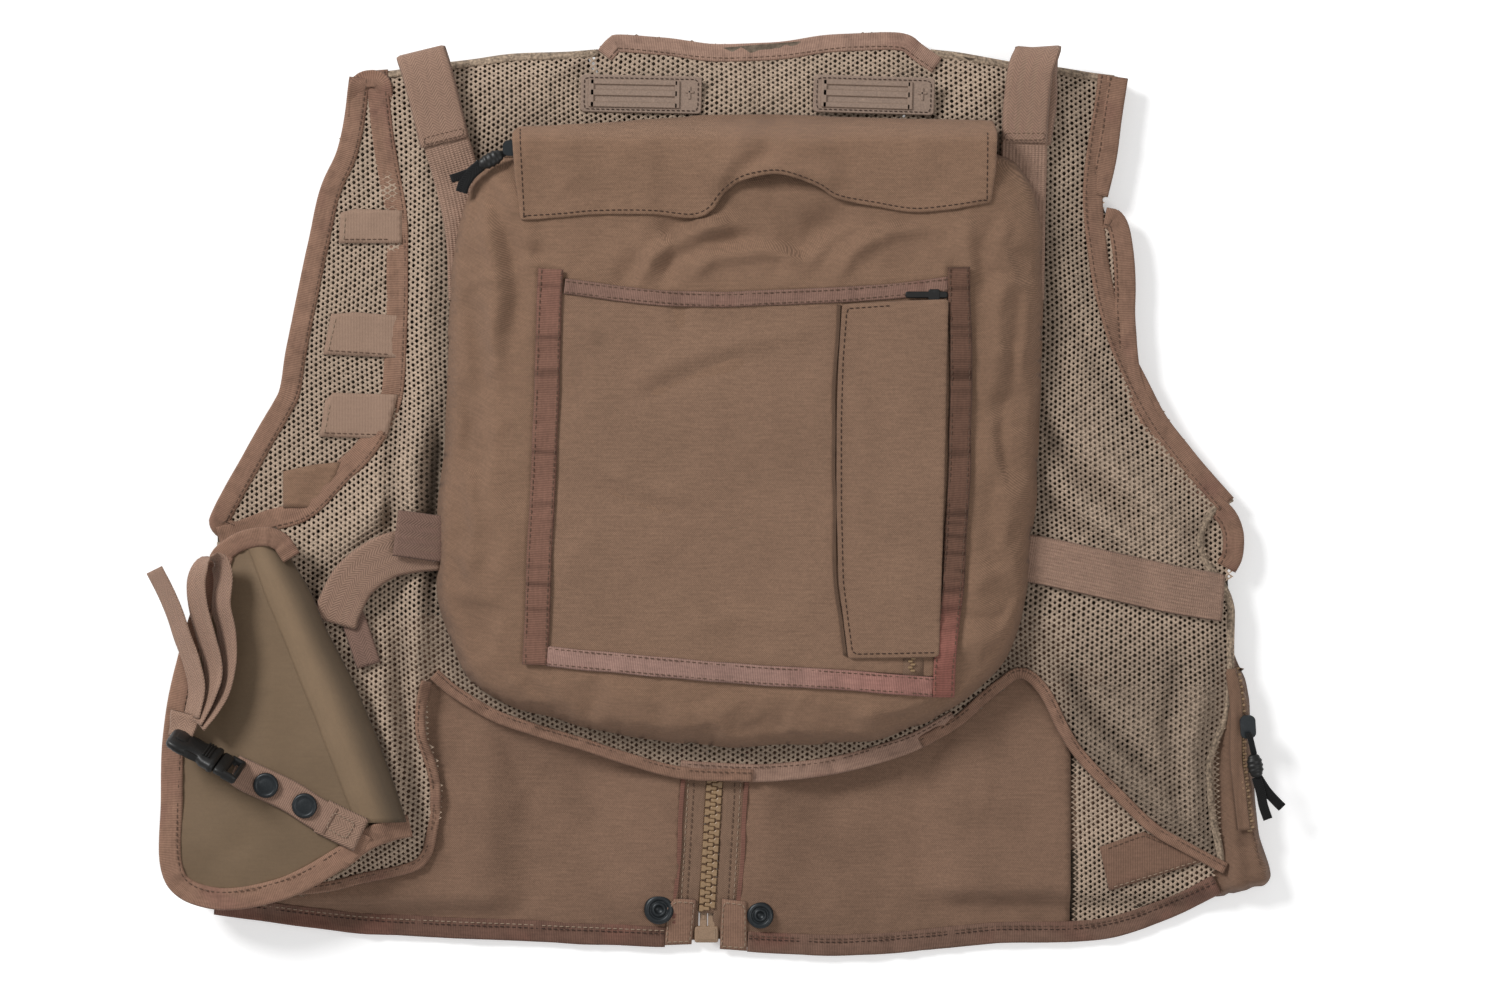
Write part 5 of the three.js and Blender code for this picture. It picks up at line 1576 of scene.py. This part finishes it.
def flap_base():
    outline = [(-234, -30), (-176, -160), (-178, -176), (-188, -184), (-256, -200), (-260, -180), (-260, -60),
               (-246, -28)]
    height = lambda x, y, d: POUCH_BASE + 3.0 * pillow(d, 6)
    points, faces = bag(resample(closed(outline), 5.0)[:-1], POUCH_BASE, height, 6.0)
    base = piece("side_flap_base", points, faces, PAD, uv=points[:, :2], slot="padded_cloth")


TAB_ANGLE = math.radians(152)
TAB_FROM = np.array([-188.0, -172.0])
BUCKLE_ROLL = math.radians(66)
BUCKLE_FROM = 66.2  # along the tab
BUCKLE_RISE = 11 * math.sin(BUCKLE_ROLL) + 3


def on_tab(along, across=0.0):
    """A flat point on the snap tab."""
    c, s = math.cos(TAB_ANGLE), math.sin(TAB_ANGLE)
    return TAB_FROM + (along * c - across * s, along * s + across * c)


def snap_tab():
    across = (-math.sin(TAB_ANGLE), math.cos(TAB_ANGLE), 0.0)
    path = [(*on_tab(14, 1.0), 36.9), (*on_tab(26, 0.5), 37.6), (*on_tab(38, -0.5), 37.4),
            (*on_tab(52), 37.8),
            (*on_tab(62, 0.5), 38.8), (*on_tab(70.5), 42.6)]
    lean = [across] * 4 + [(*across[:2], 0.12), (*across[:2], 0.6)]
    strap("snap_tab", path, lean, webbing_section(16.5, 1.7), STRAP, body="buckle_tab", seed=11.0,
          ripples=0.35)
    anchor = [(*on_tab(-3), 36.3), (*on_tab(8, 0.5), 36.6), (*on_tab(20, 0.8), 36.7)]
    strap("snap_tab_anchor", anchor, [across] * 3, webbing_section(18.5, 1.5), WEBBING, body="buckle_tab",
          seed=12.0)
    box_stitch(on_tab(9, 0.5), 12, 9, 152, 37.65, "buckle_tab", "pale")
    cap = [(0, 0), (6.3, 0), (6.6, 0.5), (6.4, 1.3), (5.6, 1.9), (4.9, 1.75), (4.5, 1.45), (3.4, 1.75),
           (1.8, 2.0),
           (0, 2.05)]
    points, faces = lathe(cap, 48)
    for name, along, tip, z in (("inner", 30, 0.05, 38.9), ("outer", 52.5, 0.08, 39.4)):
        placed = turned(points, angle_x=tip, angle_y=-tip, at=(*on_tab(along), z))
        piece(f"snap_cap_{name}", placed, faces, METAL, body="buckle_tab", slot="dark_metal")


def shell(stations, power=2.7, around=32):
    """A rounded moulding along x from (x, half width, half height) stations."""
    t = np.linspace(0, 2 * math.pi, around, endpoint=False)
    y = np.sign(np.cos(t)) * np.abs(np.cos(t)) ** (2 / power)
    z = np.sign(np.sin(t)) * np.abs(np.sin(t)) ** (2 / power)
    points = np.vstack([np.column_stack([np.full(around, x), w * y, h * z]) for x, w, h in stations])
    return points, tube_faces(len(stations), around)


def buckle_halves():
    """The side-release buckle's two halves, which lie nearly on edge. The prongs show at the socket's waist."""
    socket = [(13.2, 9.4, 3.0), (13.6, 10.4, 3.9), (14.6, 11.0, 4.3), (16.0, 11.0, 4.3), (16.6, 10.5, 3.8),
              (20.5, 10.3, 3.8), (22.5, 8.6, 3.7), (24.5, 7.9, 3.6), (28.5, 7.9, 3.6), (30.5, 8.8, 3.6),
              (32.5, 9.8, 3.5), (36.0, 9.6, 3.3), (39.5, 8.8, 2.9), (40.9, 7.4, 2.1), (41.3, 5.8, 1.2)]
    panel = prism(rounded(31.5, -4.5, 38.0, 4.5, 2.0), [(0, 2.6), (0, 3.5), (0.5, 3.75)])
    rib_levels = [(0, 2.6), (0, 4.0), (0.25, 4.2)]
    ribs = [prism(rounded(x, -7.2, x + 0.9, 7.2, 0.4), rib_levels) for x in (17.8, 19.3, 20.8)]
    web_end = [(6.6, 9.0, 1.8), (7.2, 10.2, 2.8), (9.0, 10.6, 3.1), (12.0, 10.6, 3.1), (12.9, 9.8, 2.4),
               (13.1, 8.4, 1.6)]
    rail, rail_faces = shell([(0.4, 0.9, 1.4), (1.2, 1.5, 2.3), (4.0, 1.5, 2.4), (8.0, 1.5, 2.4)], around=16)
    rails = [(rail + (0, y, 0), rail_faces) for y in (-9.0, 9.0)]
    bar, bar_faces = shell([(-9.9, 0.8, 1.2), (-9.2, 1.4, 2.1), (9.2, 1.4, 2.1), (9.9, 0.8, 1.2)], around=16)
    bar = turned(bar, angle_z=math.pi / 2, at=(1.6, 0, 0))
    halves = {"socket": ("strap_end", [shell(socket), panel, *ribs]),
              "plug": ("buckle_tab", [shell(web_end), *rails, (bar, bar_faces)])}
    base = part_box("snap_tab")[0][2] * 1000 + BUCKLE_RISE
    for name, (body, parts) in halves.items():
        points, faces = merge(parts)
        placed = turned(points, angle_x=BUCKLE_ROLL, angle_z=TAB_ANGLE, at=(*on_tab(BUCKLE_FROM), base))
        obj = piece(f"buckle_{name}", placed, faces, BLACK, body=body, slot="black_plastic")
        split = obj.modifiers.new("edges", "EDGE_SPLIT")
        split.split_angle = math.radians(50)


def adjuster():
    """The side strap, folded over itself on edge, with its loose end and where it enters the buckle."""
    narrow = webbing_section(15, 1.3)
    turns = [(-271, -114, 43.0), (-264.5, -101, 43.5), (-261, -89, 44), (-264.5, -72, 44), (-269, -55, 43.5),
             (-270, -41, 43), (-265.5, -32, 43), (-259, -31, 43), (-256, -40, 43.5), (-257, -54, 44),
             (-254.5, -68, 44), (-254, -84, 44), (-257, -98, 44), (-263, -109, 44), (-268.5, -116, 44)]
    strap("adjuster_strap", turns, [(0.72, 0.16, 0.67)] * len(turns), narrow, WEBBING, body="strap_end",
          seed=13.0, ripples=0.3)
    tail = [(-272.5, -112, 41.5), (-270, -98, 41), (-272.5, -84, 41), (-277, -72, 40.5), (-282, -57, 40),
            (-287, -46, 40), (-292, -36, 40.5)]
    strap("adjuster_tail", tail, [(0.66, 0.2, 0.72)] * len(tail), narrow, WEBBING, body="strap_end",
          seed=14.0,
          ripples=0.3)
    root = [(-276, -110, 41), (-277, -116, 40), (-278.5, -122, 41.5)]
    strap("adjuster_root", root, [(0.85, 0.3, 0.42), (0.85, 0.4, 0.35), (0.8, 0.5, 0.3)],
          webbing_section(17, 1.5), WEBBING, body="strap_end", seed=15.0)


# ---------------------------------------------------------------------------------------------
# The cargo pockets


GUSSET_VALLEY = [(268, -84), (271.5, -110), (270, -150), (274, -196)]


def left_cargo_pocket():
    outline = resample(closed(rounded(-262, -212, -116, -84, 12)), 5.0)[:-1]
    points, faces = bag(outline, FLOOR_GAP, lambda x, y, d: FLOOR_GAP + 9.6 * pillow(d, 12), 6.0)
    pocket = piece("cargo_bag_left", points, faces, TWILL_FRONT, uv=points[:, :2],
                   replaces=["cargo_pocket_left"])


def right_cargo_pocket():
    """The pocket that stands out past the side seam, with the zip along its gusset."""
    edge = [(118, -84), (263, -77), (268, -77), (272, -87), (275.5, -94), (277.5, -105), (278, -118),
            (279.5, -140),
            (280.5, -158), (282.5, -176), (288, -192), (289, -198), (286, -202), (262, -208), (118, -207)]

    def height(x, y, d):
        raised = 10.0 + 8.0 * step(259, 270, x) * step(-78, -92, y)
        creases = folds(x, y, [(3.2, -2.6, GUSSET_VALLEY),
                               (3.0, 1.6, [(275, -96), (275, -120), (277, -150), (282, -186)]),
                               (4.0, -1.6, [(262, -150), (280, -164)]),
                               (4.0, -1.4, [(264, -182), (284, -178)])])
        return FLOOR_GAP + raised * pillow(d, 9, 2.6) + creases * step(1, 4, d)

    points, faces = bag(resample(closed(edge), 3.0)[:-1][::-1], FLOOR_GAP, height, 3.0)
    pocket = piece("cargo_bag_right", points, faces, TWILL_FRONT, uv=points[:, :2] + (0, 1) * points[:, 2:3],
                   replaces=["cargo_pocket_right"], subdivide=1)
    x, y, z = flat_points(pocket)
    # Painted shade: darker the lower the surface lies and in the gusset's valley, over an even darkening of the
    # whole pocket.
    valley = 0.2 * np.exp(-((nearest(x, y, GUSSET_VALLEY)[0] / 3) ** 2))
    paint_points(pocket, stain=0.12 + 0.3 * step(14, 4, z) + valley)
    top = surface(points, faces)
    sew_on([(266, -82), (273.5, -98), (275.2, -120), (276.5, -140), (279, -165), (284, -190)], top,
           offset=-2.4)
    sew_on([(268.5, -79), (273, -88)], top, offset=-1.2)
    gusset = lambda x, y: top(np.clip(x, 262, 276), y)
    zip_line = [(269.5, -88), (272, -110), (273, -140), (276.5, -172)]
    draped_band("cargo_zip_tape", zip_line, webbing_section(6, 0.8), above(gusset, 0.3), ZIP_TAPE,
                slot="zip_tape", replaces=["cargo_zip"], pucker=0.1)
    coil("cargo_zip_coil", smooth(zip_line, 2), above(gusset, 0.6))
    cover = draped_band("cargo_zip_cover", np.array(zip_line) - (3.4, 0), webbing_section(6.5, 1.5),
                        above(gusset, 1.8), TWILL_FRONT, slot="twill", pucker=0.4)
    paint_points(cover, stain=0.15)


def toggle(name, centre, length, width, height, degrees, body, replaces):
    """A moulded cord lock with finger ridges."""
    s = np.linspace(-1, 1, 25)
    radius = np.sqrt(np.clip(1 - np.abs(s) ** 2.6, 0, 1)) * (1 + 0.07 * np.cos(s * 16))
    points, faces = lathe(np.column_stack([radius, s * length / 2]), 28)
    points = points[:, [2, 0, 1]] * (1, width / 2, height / 2)
    placed = turned(points, angle_z=math.radians(degrees), at=centre)
    piece(name, placed, faces, BLACK, body=body, slot="black_plastic", replaces=replaces)


def pull_cord(name, points, across, section, body):
    strap(name, points, across, section, CORD, body=body, slot="black_plastic")


def pulls():
    """Cord pulls on the pouch's zip and on the right cargo pocket's zip, each with two loose ends."""
    body = "pouch_pull"
    pull_cord("pouch_pull_cord", [(-108, 181, 41.0), (-112, 178.6, 41.2), (-117, 176, 41.5)],
              [(0.5, 0.86, 0)] * 3, webbing_section(3.4, 2.2, count=8), body)
    toggle("pouch_pull_toggle", (-118, 175.6, 41.8), 14, 7.5, 5.0, 28, body, ["pouch_zip_pull"])
    pull_cord("pouch_pull_tail",
              [(-123, 173, 41.4), (-128, 169, 40.0), (-132, 163.5, 38.6), (-133.5, 159, 37.8)],
              [(0.6, -0.75, 0.1), (0.75, -0.6, 0.15), (0.9, -0.4, 0.2), (0.94, -0.3, 0.2)],
              webbing_section(6.5, 1.1, count=10), body)
    pull_cord("pouch_pull_tail_short",
              [(-122, 173.6, 40.8), (-127.5, 170, 39.4), (-134, 167.5, 38.4), (-139, 166, 37.6)],
              [(0.5, -0.8, -0.1), (0.4, -0.9, -0.1), (0.2, -0.95, -0.2), (0.2, -0.95, -0.25)],
              webbing_section(4.5, 1.1, count=10), body)
    body = "cargo_pull"
    pull_cord("cargo_pull_cord", [(274.8, -121, 24.6), (276, -126, 25.0), (277.4, -132, 25.0)],
              [(1, 0.1, 0)] * 3, webbing_section(3.2, 2.4, count=8), body)
    toggle("cargo_pull_toggle", (278, -138, 24.8), 13, 8, 6.0, -80, body, ["cargo_zip_pull"])
    tails = {
        "cargo_pull_tail": [(278.6, -144, 24.4), (281, -152, 23.6), (282.5, -159, 22.4), (285, -166, 21.6)],
        "cargo_pull_tail_short": [(279.4, -144, 23.6), (284, -151, 22.4), (288.5, -156, 21.2),
                                  (292.5, -160, 20.2)],
    }
    for name, points in tails.items():
        pull_cord(name, points, [(0.95, 0.3, 0)] * 4, webbing_section(5, 1.1, count=10), body)


def finish_frame_nodes():
    """The hard pieces that keep their frame shape get rounded edges and their own finish."""
    looks = {
        "buckle_prong_left": (BLACK, 0.5), "buckle_prong_right": (BLACK, 0.5), "front_zip_pull": (BLACK, 0.5),
        "pouch_zip_slider": (METAL, 0.7), "cargo_zip_slider": (METAL, 0.7), "front_zip_slider": (TEETH, 0.6),
    }
    for name, (paint, width) in looks.items():
        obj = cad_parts[name]
        obj.data.materials.clear()
        obj.data.materials.append(paint)
        bevel = obj.modifiers.new("rounding", "BEVEL")
        bevel.width = width * 0.001
        bevel.segments = 3
        bevel.limit_method = "ANGLE"
        bevel.angle_limit = math.radians(35)


def lay_threads():
    """All the stitches of one colour on one body are one piece."""
    for (body, colour), parts in threads.items():
        points, faces = merge(parts)
        piece(f"stitches_{body}_{colour}", points, faces, THREADS[colour], body=body, slot="binding_tape")


front_twills()
chest_mesh()
front_hems()
front_patches()
main_zip()
hem_snaps()
back_mesh()
back_bindings()
pouch_top = pouch_body()
pocket_panel(pouch_top)
pocket_tapes(pouch_top)
pouch_zip(pouch_top)
pouch_flap(pouch_top)
placket(pouch_top)
shoulder_loops()
lash_tabs()
waist_straps()
flap_leaf()
flap_fold()
flap_base()
snap_tab()
buckle_halves()
adjuster()
left_cargo_pocket()
right_cargo_pocket()
pulls()
finish_frame_nodes()
lay_threads()
